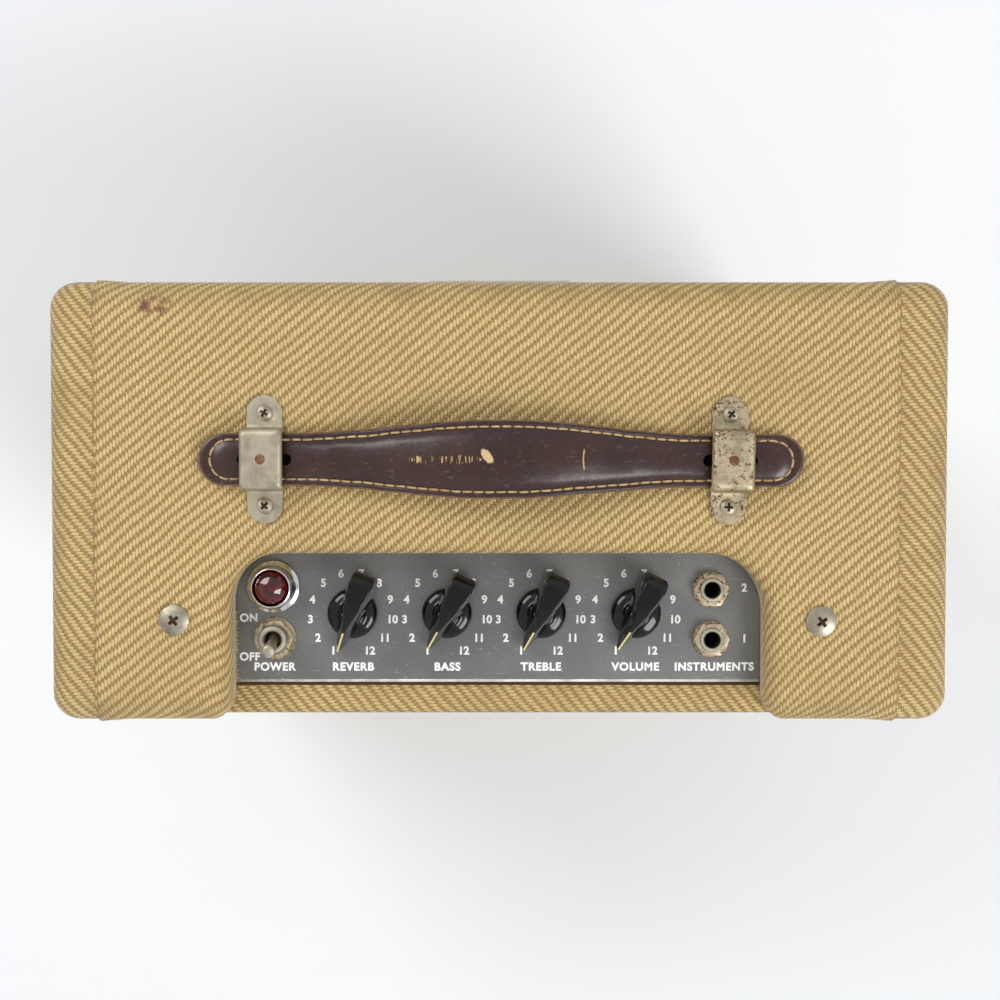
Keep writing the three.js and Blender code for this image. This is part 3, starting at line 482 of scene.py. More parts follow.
M = {
    "tweed_top": tweed_material("tweed_top", stain=True),
    "tweed": tweed_material("tweed"),
    "pine": wood_material("pine", (214, 172, 116), (184, 134, 80)),
    "lined": wood_material("pine_lined", (214, 172, 116), (184, 134, 80), lined=True),
    "ply": ply_material("ply"),
    "nickel": metal_material("nickel", (214, 206, 188), 0.26, rust=0.12),
    "screw": metal_material("screw_nickel", (208, 198, 178), 0.46, rust=0.15),
    "dull": metal_material("dull_nickel", (186, 176, 156), 0.46, rust=0.3),
    "worn": metal_material("worn_nickel", (214, 198, 170), 0.44, rust=0.56),
    "recess": metal_material("screw_recess", (104, 84, 62), 0.7, rust=0.5, metallic=0.4),
    "cap_clean": metal_material("cap_clean", (206, 196, 172), 0.46, rust=0.05, scratch=0.8),
    "cap_rusty": metal_material("cap_rusty", (208, 192, 162), 0.48, rust=0.62, scratch=0.9),
    "rust": metal_material("rust_spot", (136, 100, 74), 0.6, rust=0.7, metallic=0.5),
    "chrome": metal_material("chrome", (238, 238, 236), 0.12, scratch=0.2),
    "steel": metal_material("steel", (142, 141, 136), 0.34, scratch=0.7),
    "panel": panel_material(),
    "bakelite": plastic_material("bakelite", (7, 6, 6), 0.1, 0.2),
    "jewel": jewel_material(),
    "leather": leather_material(),
    "thread": thread_material(),
    "fray": paint_material("fray_linen", (226, 206, 164), 0.8),
    "badge": metal_material("badge_plate", (206, 204, 196), 0.34, scratch=1.0, tone=(196, 194, 186)),
    # near-white, for the painted highlight along the panel's rear bend
    "bright": metal_material("painted_highlight_edge", (244, 243, 240), 0.42, scratch=0.6, metallic=0.35),
    "rubber": grained_material("foot_rubber", (28, 27, 26), (62, 59, 55), 0.75, 0.3, (1.2, 4.0, 0.7),
                               (0.4, 0.75, 0, 0.5), (0.1, 0.5)),
    "grille": grille_material(),
    "glass": glass_material(),
    "paper": grained_material("cone_paper", (34, 32, 31), (56, 53, 50), 0.92, 0.2, (0.9, 5.0, 0.7),
                              (0.35, 0.7), (0.2, 0.6)),
    "magnet": paint_material("magnet_grey", (96, 94, 90), 0.5),
    "black_paint": paint_material("transformer_black", (36, 34, 32), 0.4),
    "fibre": paint_material("fibre_board", (40, 33, 27), 0.85),
    "cream": plastic_material("pointer_cream", (226, 206, 150), 0.4, 0.1),
    "ink": ink_material(),
    # near black, put in holes as painted shade
    "dark": paint_material("painted_shade_black", (16, 15, 14), 0.8),
}

# ---- Mesh writing --------------------------------------------------------------------------


def around(count):
    """Angles evenly all the way round."""
    return [2 * math.pi * i / count for i in range(count)]


def radial(radius, angle, height=0.0):
    return Vector((radius * math.cos(angle), radius * math.sin(angle), height))


class Shape:
    """A mesh gathered ring by ring; a ring of one vertex is a point."""

    def __init__(self):
        self.verts, self.faces, self.rings = [], [], []

    def ring(self, points):
        first = len(self.verts)
        self.verts += points
        self.rings.append(range(first, len(self.verts)))

    def skin(self, ends=False, wrap=True, closed=False):
        """Faces from each ring to the next. Rings wrap round unless they are open strips."""
        following = self.rings[1:] + (self.rings[:1] if closed else [])
        for low, high in zip(self.rings, following):
            for i in range(max(len(low), len(high)) - (not wrap)):
                corners = (low[i % len(low)], low[(i + 1) % len(low)],
                           high[(i + 1) % len(high)], high[i % len(high)])
                face = list(dict.fromkeys(corners))
                if len(face) > 2:
                    self.faces.append(face)
        if ends:
            self.faces += [list(r) for r in (self.rings[0][::-1], self.rings[-1]) if len(r) > 2]
        self.rings = []
        return self.verts, self.faces


@contextmanager
def editing(mesh):
    """A mesh open for editing, and written back afterwards."""
    bm = bmesh.new()
    bm.from_mesh(mesh)
    yield bm
    bm.to_mesh(mesh)
    bm.free()


def link(obj):
    bpy.context.scene.collection.objects.link(obj)
    return obj


def piece(name, verts, faces, material, body=ROOT, slot=None, smooth=True, uvs=None, edge=None):
    """An object from millimetre vertices, riding on a body."""
    mesh = bpy.data.meshes.new(name)
    mesh.from_pydata([Vector(v) * MM for v in verts], [], faces)
    if uvs is not None:
        layer = mesh.uv_layers.new(name="Weave")
        for loop in mesh.loops:
            layer.data[loop.index].uv = uvs[loop.vertex_index]
    if edge is not None:
        mesh.attributes.new("edge", "FLOAT", "POINT").data.foreach_set("value", edge)
    mesh.polygons.foreach_set("use_smooth", [smooth] * len(mesh.polygons))
    mesh.materials.append(material)
    obj = link(bpy.data.objects.new(name, mesh))
    if body:
        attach(obj, body)
    return obj


def outward(obj):
    """Makes a closed mesh's faces look outwards."""
    with editing(obj.data) as bm:
        bmesh.ops.recalc_face_normals(bm, faces=bm.faces)
    return obj


def modify(obj, kind, **settings):
    modifier = obj.modifiers.new(kind.title(), kind)
    for key, value in settings.items():
        setattr(modifier, key, value)
    return modifier


def bake_modifiers(obj):
    """Replaces the mesh with what its modifiers make of it."""
    bpy.context.view_layer.update()
    shown = obj.evaluated_get(bpy.context.evaluated_depsgraph_get())
    mesh = bpy.data.meshes.new_from_object(shown)
    obj.modifiers.clear()
    obj.data = mesh
    return obj


def lathe(name, profile, place, material, body=ROOT, slot=None, sides=48, axis=UP, crease=38,
          ripple=None):
    """A turned piece: profile is [(radius, height)] from its underside round to its top."""
    turn = UP.rotation_difference(axis)
    shape = Shape()
    for radius, height in profile:
        points = [radial(radius + (ripple(radius, height, i) if ripple else 0), angle, height)
                  for i, angle in enumerate(around(sides if radius else 1))]
        shape.ring([turn @ p + Vector(place) for p in points])
    obj = outward(piece(name, *shape.skin(), material, body, slot))
    sharpen(obj, crease)
    return obj


def sharpen(obj, degrees):
    """Marks edges sharper than the angle, so smooth shading stops there."""
    with editing(obj.data) as bm:
        for e in bm.edges:
            e.smooth = not (len(e.link_faces) == 2 and e.calc_face_angle() > math.radians(degrees))


def slab(name, low, high, material, bevel, slot):
    """A bevelled block between two corners."""
    corners = [[(low, high)[i][axis] for axis, i in enumerate(pick)]
               for pick in ((x, y, z) for z in (0, 1) for y in (0, 1) for x in (0, 1))]
    faces = [(0, 2, 3, 1), (4, 5, 7, 6), (0, 1, 5, 4), (2, 6, 7, 3), (0, 4, 6, 2), (1, 3, 7, 5)]
    obj = piece(name, corners, faces, material, ROOT, slot)
    modify(obj, "BEVEL", width=bevel * MM, segments=3, harden_normals=True)
    return obj


# ---- Covering: a flat region with its edges rolled over -------------------------------------


class Rib:
    """One line of the covering, from a point on the flat region's outline over the edge."""

    def __init__(self, a, b, na, nb, profile, rolled=True):
        self.a, self.b, self.na, self.nb = a, b, na, nb
        self.profile, self.rolled = profile, rolled


def notch_profile(radius, tuck):
    """The covering down the notch's wall: clean over the roll, ending raw above the panel."""
    drop = TOP_Z - TOP_LOW.z
    rows = roll_profile(radius, drop, tuck, rows=8)
    return [(out, down, arc, RAW if down > drop - RAW_BAND else 0.25) for out, down, arc, _ in rows]


def roll_profile(radius, drop, tuck=0.0, steps=7, rows=5, tuck_rows=3):
    """[(out, down, length along the cloth, edge grime and painted shade)]: a quarter turn, a fall, and a
    turn under.
    """
    points = []
    for i in range(1, steps + 1):
        t = math.pi / 2 * i / steps
        # the edge value peaks mid-roll: painted shade on the roll, as well as grime
        wear = math.sin(2 * t)
        points.append((radius * math.sin(t), radius * (1 - math.cos(t)), radius * t, 0.35 + 0.65 * wear))
    arc = radius * math.pi / 2
    for i in range(1, rows + 1):
        down = (drop - radius) * i / rows
        points.append((radius, radius + down, arc + down, 0.35 + 0.5 * i / rows))
    for i in range(1, tuck_rows + 1):
        t = tuck * i / tuck_rows
        points.append((radius - t, drop, arc + drop - radius + t, 1.0))
    return points


def walk(start, end, step):
    """Points from start up to but not including end."""
    start, end = Vector(start), Vector(end)
    count = max(1, round((end - start).length / step))
    return [start.lerp(end, i / count) for i in range(count)]


def run(start, end, step, na, nb, profile, rolled=True):
    """Ribs from start up to but not including end, all facing (na, nb)."""
    return [Rib(p.x, p.y, na, nb, profile, rolled) for p in walk(start, end, step)]


def covering(name, ribs, place, weave, material, facing, grid=6.0, slot="tweed"):
    """Cloth over a flat outline and down its edges. place(a, b, down) gives the row's point."""
    verts, uvs, wear, index, loop = [], [], [], {}, []

    def vertex(a, b, down, ta, tb, edge):
        verts.append(place(a, b, down))
        uvs.append(weave(ta, tb))
        wear.append(edge)
        return len(verts) - 1

    def foot(a, b):
        key = (round(a, 3), round(b, 3))
        if key not in index:
            index[key] = vertex(a, b, 0.0, a, b, 0.3)
            loop.append((index[key], Vector((a, b))))
        return index[key]

    columns = []
    for rib in ribs:
        column = [foot(rib.a, rib.b)]
        for out, down, arc, edge in rib.profile:
            column.append(vertex(rib.a + rib.na * out, rib.b + rib.nb * out, down,
                                 rib.a + rib.na * arc, rib.b + rib.nb * arc, edge))
        columns.append(column)
    faces = []
    for i, rib in enumerate(ribs):
        j = (i + 1) % len(ribs)
        if not (rib.rolled and ribs[j].rolled):
            continue
        for k in range(len(columns[i]) - 1):
            quad = (columns[i][k], columns[j][k], columns[j][k + 1], columns[i][k + 1])
            face = list(dict.fromkeys(quad))
            if len(face) > 2:
                faces.append(face)
    faces += flat_faces(loop, grid, lambda a, b: vertex(a, b, 0.0, a, b, 0.0))
    obj = piece(name, verts, faces, material, None, slot, uvs=uvs, edge=wear)
    face_outwards(obj, Vector(facing))
    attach(obj, ROOT)
    return obj


def flat_faces(loop, grid, new_vertex):
    """Triangles that fill the outline, with inner points on a grid."""
    outline = [p for _, p in loop]
    ids = [i for i, _ in loop]
    low_a, high_a = min(p.x for p in outline), max(p.x for p in outline)
    low_b, high_b = min(p.y for p in outline), max(p.y for p in outline)
    points = list(outline)
    a = low_a + grid / 2
    while a < high_a:
        b = low_b + grid / 2
        while b < high_b:
            p = Vector((a, b))
            if inside(p, outline) and clearance(p, outline) > grid * 0.45:
                points.append(p)
                ids.append(new_vertex(a, b))
            b += grid
        a += grid
    count = len(outline)
    edges = [(i, (i + 1) % count) for i in range(count)]
    _, _, tris, origins, _, _ = geometry.delaunay_2d_cdt(points, edges, [], 1, 1e-6)
    return [[ids[origins[v][0]] for v in tri] for tri in tris]


def inside(p, outline):
    crossings = False
    for q, r in zip(outline, outline[1:] + outline[:1]):
        if (q.y > p.y) != (r.y > p.y) and p.x < (r.x - q.x) * (p.y - q.y) / (r.y - q.y) + q.x:
            crossings = not crossings
    return crossings


def clearance(p, outline):
    nearest = 1e9
    for q, r in zip(outline, outline[1:] + outline[:1]):
        d = r - q
        t = max(0.0, min(1.0, (p - q).dot(d) / max(d.length_squared, 1e-9)))
        nearest = min(nearest, (p - q - d * t).length)
    return nearest


def face_outwards(obj, direction):
    """Turns every face the same way round, so that the flat region looks along direction."""
    with editing(obj.data) as bm:
        bmesh.ops.recalc_face_normals(bm, faces=bm.faces)
        bm.normal_update()
        if sum(f.calc_area() * f.normal.dot(direction) for f in bm.faces) < 0:
            bmesh.ops.reverse_faces(bm, faces=bm.faces)
    modify(obj, "SOLIDIFY", thickness=CLOTH * MM, offset=-1)


def arc_ribs(centre, radius, start, end, make, step=2.5):
    """Ribs round an arc of the outline; make(angle) gives (outward sign, profile)."""
    sweep = end - start
    count = max(3, round(abs(math.radians(sweep)) * max(radius, 6) / step))
    ribs = []
    for i in range(count + 1):
        angle = math.radians(start + sweep * i / count)
        sign, profile, r = make(i / count, radius)
        c, s = math.cos(angle), math.sin(angle)
        ribs.append(Rib(centre[0] + r * c, centre[1] + r * s, sign * c, sign * s, profile))
    return ribs


EAR_SWELL, ROLL_DROP = 0.5, 18.0


def top_outline():
    """The flat of the top covering, anticlockwise from the front left, with its notch at the rear."""
    flat_y = HALF_Y - EDGE
    wall = notch_profile(NOTCH_ROLL, WALL_TUCK)
    front = roll_profile(EDGE, TOP_Z - TOP_LOW.z, TUCK, rows=8)
    left, right = NOTCH_LEFT - NOTCH_ROLL, NOTCH_RIGHT + NOTCH_ROLL
    inner_y = NOTCH_FRONT - NOTCH_ROLL
    ear_y = HALF_Y - EAR_RADIUS
    ear_left, ear_right = NOTCH_LEFT - EAR_RADIUS, NOTCH_RIGHT + EAR_RADIUS
    lc = (NOTCH_LEFT + NOTCH_LEFT_RADIUS, NOTCH_FRONT + NOTCH_LEFT_RADIUS)
    rc = (NOTCH_RIGHT - NOTCH_RIGHT_RADIUS, NOTCH_FRONT + NOTCH_RIGHT_RADIUS)

    def ear(to_wall):
        def make(t, _):
            share = t if to_wall else 1 - t
            roll, tuck = EDGE + (NOTCH_ROLL - EDGE) * share, TUCK + (WALL_TUCK - TUCK) * share
            raw = share > 0.8
            profile = notch_profile(roll, tuck) if raw else roll_profile(roll, ROLL_DROP, tuck, rows=8)
            return 1, profile, EAR_RADIUS - roll + EAR_SWELL * math.sin(math.pi * t)
        return make

    def corner(_, radius):
        return -1, wall, radius

    low_x, high_x = -SEAM[-1], SEAM[1]
    ribs = run((low_x, -flat_y), (high_x, -flat_y), 4, 0, -1, front)
    ribs += [Rib(high_x, -flat_y, 0, -1, front)]
    ribs += run((high_x, -flat_y + 4), (high_x, flat_y - 3), 4, 1, 0, front, False)
    ribs += run((high_x, flat_y), (ear_right, flat_y), 3, 0, 1, front)
    ribs += arc_ribs((ear_right, ear_y), EAR_RADIUS, 90, 180, ear(True), 1.5)
    ribs += run((right, ear_y - 3), (right, rc[1]), 3, -1, 0, wall)
    ribs += arc_ribs(rc, NOTCH_RIGHT_RADIUS + NOTCH_ROLL, 0, -90, corner)
    ribs += run((rc[0] - 3, inner_y), (lc[0], inner_y), 3, 0, 1, wall)
    ribs += arc_ribs(lc, NOTCH_LEFT_RADIUS + NOTCH_ROLL, 270, 180, corner)
    ribs += run((left, lc[1] + 3), (left, ear_y), 3, 1, 0, wall)
    ribs += arc_ribs((ear_left, ear_y), EAR_RADIUS, 0, 90, ear(False), 1.5)
    ribs += run((ear_left - 3, flat_y), (low_x, flat_y), 3, 0, 1, front)
    ribs += [Rib(low_x, flat_y, 0, 1, front)]
    ribs += run((low_x, flat_y - 3), (low_x, -flat_y + 2), 4, -1, 0, front, False)
    return ribs


def side_outline(sign):
    """The flat of a side covering as (depth, height), with every edge rolled."""
    far = HALF_Y - EDGE
    low, high = BASE_Z + EDGE, TOP_Z - EDGE
    opening = roll_profile(EDGE, HALF_X - INNER_X, TUCK)
    seam = roll_profile(EDGE, HALF_X - SEAM[sign], 0.0, tuck_rows=3)

    def profile(z):
        """Beside the top and bottom boards the cloth runs to the seam; between them it turns in."""
        beside_board = min(z - BASE_Z, TOP_Z - z) < TOP_Z - TOP_LOW.z
        return seam if beside_board else opening

    def fan(y, z, start):
        angles = [math.radians(start + 10 * i) for i in range(1, 9)]
        return [Rib(y, z, math.cos(a), math.sin(a), seam) for a in angles]

    ribs = run((-far, low), (far, low), 4, 0, -1, seam)
    ribs += [Rib(far, low, 0, -1, seam)] + fan(far, low, -90)
    ribs += [Rib(p.x, p.y, 1, 0, profile(p.y)) for p in walk((far, low), (far, high), 3)]
    ribs += [Rib(far, high, 1, 0, seam)] + fan(far, high, 0)
    ribs += run((far, high), (-far, high), 4, 0, 1, seam)
    ribs += [Rib(-far, high, 0, 1, seam)] + fan(-far, high, 90)
    ribs += [Rib(p.x, p.y, -1, 0, profile(p.y)) for p in walk((-far, high), (-far, low), 3)]
    ribs += [Rib(-far, low, -1, 0, seam)] + fan(-far, low, 180)
    return ribs


def plain_outline(half, depth, rolls, step=4):
    """A rectangle's ribs; rolls holds a profile or None for its low b, high a, high b and low a."""
    ribs = []
    corners = [(-half, -depth), (half, -depth), (half, depth), (-half, depth)]
    normals = [(0, -1), (1, 0), (0, 1), (-1, 0)]
    for k in range(4):
        start, end, normal, profile = corners[k], corners[(k + 1) % 4], normals[k], rolls[k]
        points = walk(start, end, step) + [Vector(end)]
        rolled = profile is not None
        for p in (points if rolled else points[1:-1]):
            ribs.append(Rib(p.x, p.y, normal[0], normal[1], profile or [(0, 0, 0, 0)], rolled))
    return ribs


def side_weave(sign):
    """How the side cloth's weave runs: straight over the corners, gathered only beside the fold."""
    far, low, high = HALF_Y - EDGE, BASE_Z + EDGE, TOP_Z - EDGE

    def weave(a, b):
        along = abs(a) - far
        up = b - high if b > high else low - b
        if along > 0 and up > 0:
            arc = math.hypot(along, up)
            lift = min(1.0, math.atan2(up, along) / math.radians(35))
            share = lift * lift * (3 - 2 * lift)
            out = EDGE * math.sin(min(arc / EDGE, math.pi / 2))
            a = math.copysign(far + along + share * (out * along / arc - along), a)
            b = b + math.copysign(share * (arc - up), b - high)
        return (-sign * a, b)
    return weave


LAP, LAP_OUT, LAP_UP = 12.0, 0.9, 0.3        # the width of the lap at a seam, and how proud it stands
DRAWN, DRAWN_FADE = 4.5, 10.0                # how far the notch draws the cloth, and over what distance


def build_covering():
    def top_place(a, b, down):
        """Near a seam the top cloth lies over the turned-in edge of the side cloth and stands proud."""
        near = max(0.0, 1 - (SEAM[1 if a > 0 else -1] - abs(a)) / LAP)
        out = math.copysign(LAP_OUT * near * min(1.0, down / 6), b)
        return (a, b + out, TOP_Z - down + LAP_UP * near)

    def top_weave(a, b):
        """The cloth is drawn backward where it turns down beside the notch."""
        beside = max(a - NOTCH_RIGHT, NOTCH_LEFT - a, 0.0)
        ahead = min(1.0, max(0.0, (b - NOTCH_FRONT + 6) / 26))
        return (-a, b - DRAWN * ahead * math.exp(-beside / DRAWN_FADE))

    top = covering("tweed_top", top_outline(), top_place, top_weave, M["tweed_top"], UP, grid=5.0)

    roll = roll_profile(EDGE, ROLL_DROP, TUCK)
    low = covering("tweed_bottom", plain_outline(SEAM[-1], HALF_Y - EDGE, [roll, None, roll, None]),
                   lambda a, b, down: (a, b, BASE_Z + down), lambda a, b: (a, b), M["tweed"], -UP)

    for side, sign in (("left", -1), ("right", 1)):
        cloth = covering(f"tweed_side_{side}", side_outline(sign),
                         lambda a, b, down: (sign * (HALF_X - down), a, b),
                         side_weave(sign), M["tweed"], (sign, 0, 0))

    for node in ("front_upper_panel", "front_lower_panel", "rear_upper_panel", "rear_lower_panel"):
        cover_panel(node, 1 if node.startswith("front") else -1)


PANEL_ROLL = 2.4


def cover_panel(node, facing):
    """A board in its covering: tweed over the face and round all four edges, bare ply behind."""
    low, high = box(node)
    face = low.y - COVER if facing > 0 else high.y + COVER
    board = slab(f"{node}_board", (low.x + 0.7, low.y + 0.6 * (facing > 0), low.z + 0.5),
                 (high.x - 0.7, high.y - 0.6 * (facing < 0), high.z - 0.5), M["ply"], 1.6, "ply")
    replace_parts(board, node)
    wrap = high.y - low.y - 0.4
    profile = roll_profile(PANEL_ROLL, wrap, 0.0, 5, 3, 1)
    half_a, half_b = (high.x - low.x) / 2 - 0.2 - PANEL_ROLL, (high.z - low.z) / 2 - PANEL_ROLL
    mid = (low.z + high.z) / 2
    corner = []
    ribs = plain_outline(half_a, half_b, [profile] * 4)
    for rib, following in zip(ribs, ribs[1:] + ribs[:1]):
        corner.append(rib)
        turn = (rib.na * following.nb - rib.nb * following.na)
        if turn > 0.5:
            a0 = math.atan2(rib.nb, rib.na)
            corner += [Rib(rib.a, rib.b, math.cos(a0 + t), math.sin(a0 + t), profile)
                       for t in (math.pi / 6, math.pi / 3)]
    name = node.replace("_panel", "")
    cloth = covering(f"tweed_{name}", corner, lambda a, b, down: (a, face + facing * down, mid + b),
                     (lambda a, b: (a, b)) if facing > 0 else (lambda a, b: (b, -a)),
                     M["tweed"], (0, -facing, 0))


def build_grille():
    low, high = box("grille_cloth")
    ribs = plain_outline((high.x - low.x) / 2 - 0.3, (high.z - low.z) / 2 - 0.3, [None] * 4, 6)
    mid_x, mid_z = (low.x + high.x) / 2, (low.z + high.z) / 2

    def place(a, b, down):
        dip = 0.5 * noise.noise(Vector((a, b, 3)) * 0.03)
        return (mid_x + a, low.y + 0.5 + dip * 0.4, mid_z + b)

    cloth = covering("grille_sheet", ribs, place, lambda a, b: (a, b), M["grille"], FRONT, 8.0,
                     slot="grille")
    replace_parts(cloth, "grille_cloth")
    low, high = box("badge_plate")
    plate = slab("badge_blank", low, high, M["badge"], 0.9, "nickel")
    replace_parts(plate, "badge_plate")


# ---- Handle --------------------------------------------------------------------------------

JOINT_X, ARCH = 76.0, 8.0
END_HALF, GRIP_HALF = 10.35, 15.2
SLOT_HALF_LENGTH, SLOT_HALF_WIDTH, SLOT_INSET = 10.6, 2.3, 0.5
SHOULDER = 6.0                               # how far in from the edge the padding reaches full height
STITCH_IN = 2.7
BENDS = (20.0, 80.0)                         # two distances from the strap's middle; half_of makes points at them but does not use them


def swell(x):
    return 0.5 + 0.5 * math.cos(math.pi * min(1.0, abs(x) / JOINT_X))


def strap_half(x):
    return END_HALF + (GRIP_HALF - END_HALF) * swell(x) ** 0.85


STRAP_HEIGHTS = [(0, 2.3), (0.2, 3.5), (0.6, 4.3), (1.3, 4.6), (2.0, 4.3), (STITCH_IN, 3.9), (3.4, 4.3),
                 (4.4, 5.2), (SHOULDER, 6.0)]
PADDED_ABOVE = 4.3                           # leather higher than this is padded, and less so at the ends


def strap_top(inset, x):
    """Height of the leather over its underside, by distance in from its edge."""
    for (e0, z0), (e1, z1) in zip(STRAP_HEIGHTS, STRAP_HEIGHTS[1:]):
        if inset <= e1:
            height = z0 + (z1 - z0) * max(0.0, inset - e0) / (e1 - e0)
            break
    else:
        height = STRAP_HEIGHTS[-1][1]
    pad = 0.45 + 0.55 * min(1.0, max(0.0, (86 - abs(x)) / 20))
    return height if height < PADDED_ABOVE else PADDED_ABOVE + (height - PADDED_ABOVE) * pad


def strap_middle(x):
    """Where the strap's centre line lies, front to back: each end is a little off the grip's line."""
    t = min(1.0, max(0.0, (abs(x) - 30) / 45))
    return HANDLE_Y + (STRAP_TIP_Y[1 if x > 0 else -1] - HANDLE_Y) * t * t * (3 - 2 * t)


def strap_outline(inset):
    """Anticlockwise (x, y) round the strap, inset from its edge and a little more at its tips."""
    columns, step = 86, 0.5
    left, right = (STRAP_TIP[side] - END_HALF for side in (-1, 1))
    lower = []
    for i in range(columns + 1):
        x = -left + (left + right) * i / columns
        slope = (strap_half(x + step) - strap_half(x - step)) / (2 * step)
        length = math.hypot(1, slope)
        lower.append((x, -strap_half(x), -slope / length, -1 / length))
    upper = [(x, -y, nx, -ny) for x, y, nx, ny in reversed(lower)]

    def tip(side, straight):
        angles = [math.pi * i / 14 - side * math.pi / 2 for i in range(1, 14)]
        normals = [(math.cos(a), math.sin(a)) for a in angles]
        return [(side * straight + END_HALF * nx, END_HALF * ny, nx, ny) for nx, ny in normals]

    out = []
    for x, y, nx, ny in lower + tip(1, right) + upper + tip(-1, left):
        ragged = 0.3 * noise.noise(Vector((x, y, 9)) * 0.11) + 0.12 * noise.noise(Vector((x, y, 5)) * 0.9)
        t = min(1.0, max(0.0, (abs(x) - 92) / 18))
        shift = math.copysign(2.3 * min(1.0, inset / STITCH_IN) * t * t * (3 - 2 * t), x)
        reach = inset - ragged
        out.append((x - nx * reach - shift, y - ny * reach + strap_middle(x) - HANDLE_Y))
    return out


def strap_mesh():
    """The whole strap as one closed body: flat underside, stitched rim, padded middle."""
    rings = [(SHOULDER, lambda x: 0.0, 0.3), (1.0, lambda x: 0.0, 0.3), (0.25, lambda x: 0.5, 0.8)]
    rings += [(inset, lambda x, e=inset: strap_top(e, x), 1.0 - min(1.0, inset / 1.6))
              for inset, _ in STRAP_HEIGHTS]
    shape, wear = Shape(), []
    for inset, height, edge in rings:
        outline = strap_outline(inset)
        shape.ring([(x, HANDLE_Y + y, STRAP_Z + ARCH * swell(x) + height(x)) for x, y in outline])
        wear += [edge] * len(outline)
    under, top = shape.rings[0], shape.rings[-1]
    verts, faces = shape.skin()
    for loop, crowned in ((top, True), (under, False)):
        def new_vertex(a, b, crowned=crowned):
            half = strap_half(a) - SHOULDER
            share = max(0.0, 1 - ((b - strap_middle(a)) / max(half, 1)) ** 2)
            crown = (0.25 + 0.95 * swell(a)) * share + 0.25 * noise.noise(Vector((a * 0.4, b, 1)) * 0.16)
            height = strap_top(SHOULDER, a) + crown if crowned else 0.0
            verts.append((a, b, STRAP_Z + ARCH * swell(a) + height))
            wear.append(0.0)
            return len(verts) - 1

        faces += flat_faces([(i, Vector(verts[i][:2])) for i in loop], 2.2, new_vertex)
    return verts, faces, wear


def cut_slots(obj):
    """Cuts the two long slots that the cap posts slide in; their floors and walls are painted shade in
    near black.
    """
    reach = SLOT_HALF_LENGTH - SLOT_HALF_WIDTH
    for sign in (-1, 1):
        middle_x = CAP_MIDDLE[sign].x - sign * SLOT_INSET
        rounds = [(end, math.pi * (i / 8 - end / 2)) for end in (1, -1) for i in range(9)]
        cutter = Shape()
        for z in (STRAP_Z + 0.9, STRAP_Z + 15):
            cutter.ring([(middle_x + end * reach + SLOT_HALF_WIDTH * math.cos(a),
                          STRAP_TIP_Y[sign] + SLOT_HALF_WIDTH * math.sin(a), z) for end, a in rounds])
        cutter = outward(piece("slot_cutter", *cutter.skin(ends=True), M["dark"], None))
        # the slot's new floor and walls take the cutter's near-black material: painted shade
        modify(obj, "BOOLEAN", operation="DIFFERENCE", solver="EXACT", object=cutter,
               material_mode="TRANSFER")
        bake_modifiers(obj)
        bpy.data.objects.remove(cutter)


def half_of(obj, name, sign):
    """The part of a mesh on one side of x = 0, open at the cut."""
    mesh = obj.data.copy()
    with editing(mesh) as bm:
        bmesh.ops.bisect_plane(bm, geom=bm.verts[:] + bm.edges[:] + bm.faces[:], plane_co=(0, 0, 0),
                               plane_no=(-sign, 0, 0), clear_outer=True)
    half = link(bpy.data.objects.new(name, mesh))
    near, far = ((sign * x * MM, HANDLE_Y * MM, 0) for x in BENDS)
    if sign > 0:
        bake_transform(half)
        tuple(near)
        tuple(far)
    else:
        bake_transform(half)
        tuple(far)
        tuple(near)
    return half


def build_strap():
    verts, faces, wear = strap_mesh()
    whole = outward(piece("strap_whole", verts, faces, M["leather"], None, edge=wear))
    cut_slots(whole)
    sharpen(whole, 50)
    left = half_of(whole, "strap_leather_left", -1)
    right = half_of(whole, "strap_leather_right", 1)
    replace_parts(left, "handle_end_left", "handle_grip")
    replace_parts(right, "handle_end_right")
    bpy.data.objects.remove(whole)
    whole = outward(piece("stitch_whole", *stitch_mesh(), M["thread"], None))
    half_of(whole, "strap_stitches_left", -1)
    half_of(whole, "strap_stitches_right", 1)
    bpy.data.objects.remove(whole)


def stitch_mesh(pitch=4.35, length=4.15, radius=0.47):
    """Every stitch round the strap: a short thread that rises out of the groove and dips back in."""
    path = [Vector((x, HANDLE_Y + y, STRAP_Z + ARCH * swell(x) + strap_top(STITCH_IN, x) + 0.1))
            for x, y in strap_outline(STITCH_IN)]
    path.append(path[0])
    reach = [0.0]
    for p, q in zip(path, path[1:]):
        reach.append(reach[-1] + (q - p).length)
    count = round(reach[-1] / pitch)
    pitch = reach[-1] / count

    def at(s):
        s %= reach[-1]
        k = min(bisect.bisect_right(reach, s) - 1, len(path) - 2)
        return path[k].lerp(path[k + 1], (s - reach[k]) / max(reach[k + 1] - reach[k], 1e-6))

    thread, steps = Shape(), 7
    for i in range(count):
        size = length * (0.95 + 0.1 * rng.random())
        for j in range(steps):
            t = j / (steps - 1)
            s = i * pitch + (t - 0.5) * size
            centre = at(s)
            across = (at(s + 0.3) - at(s - 0.3)).normalized().cross(UP).normalized()
            lift = -0.3 + 0.65 * math.sin(math.pi * t) ** 0.5
            r = radius * (0.5 + 0.5 * math.sin(math.pi * t) ** 0.4)
            thread.ring([centre + across * r * math.cos(a) + UP * (r * 0.8 * math.sin(a) + lift)
                         for a in around(steps)])
        thread.skin(ends=True)
    return thread.verts, thread.faces


SHEET = 1.2                                  # thickness of the plated cap
CAP_HALF_LENGTH, CAP_HALF_BOX, CAP_WIDE, CAP_NARROW, CAP_SCREW_Y = 25.0, 11.8, 8.3, 6.85, 18.05
LIP = 0.76                                   # where the bridge's lips begin, as a share of its half width
RIVET = [(0, -0.8), (1.9, -0.8), (1.95, 0.0), (1.75, 0.22), (1.2, 0.3), (0.6, 0.12), (0, 0.05)]


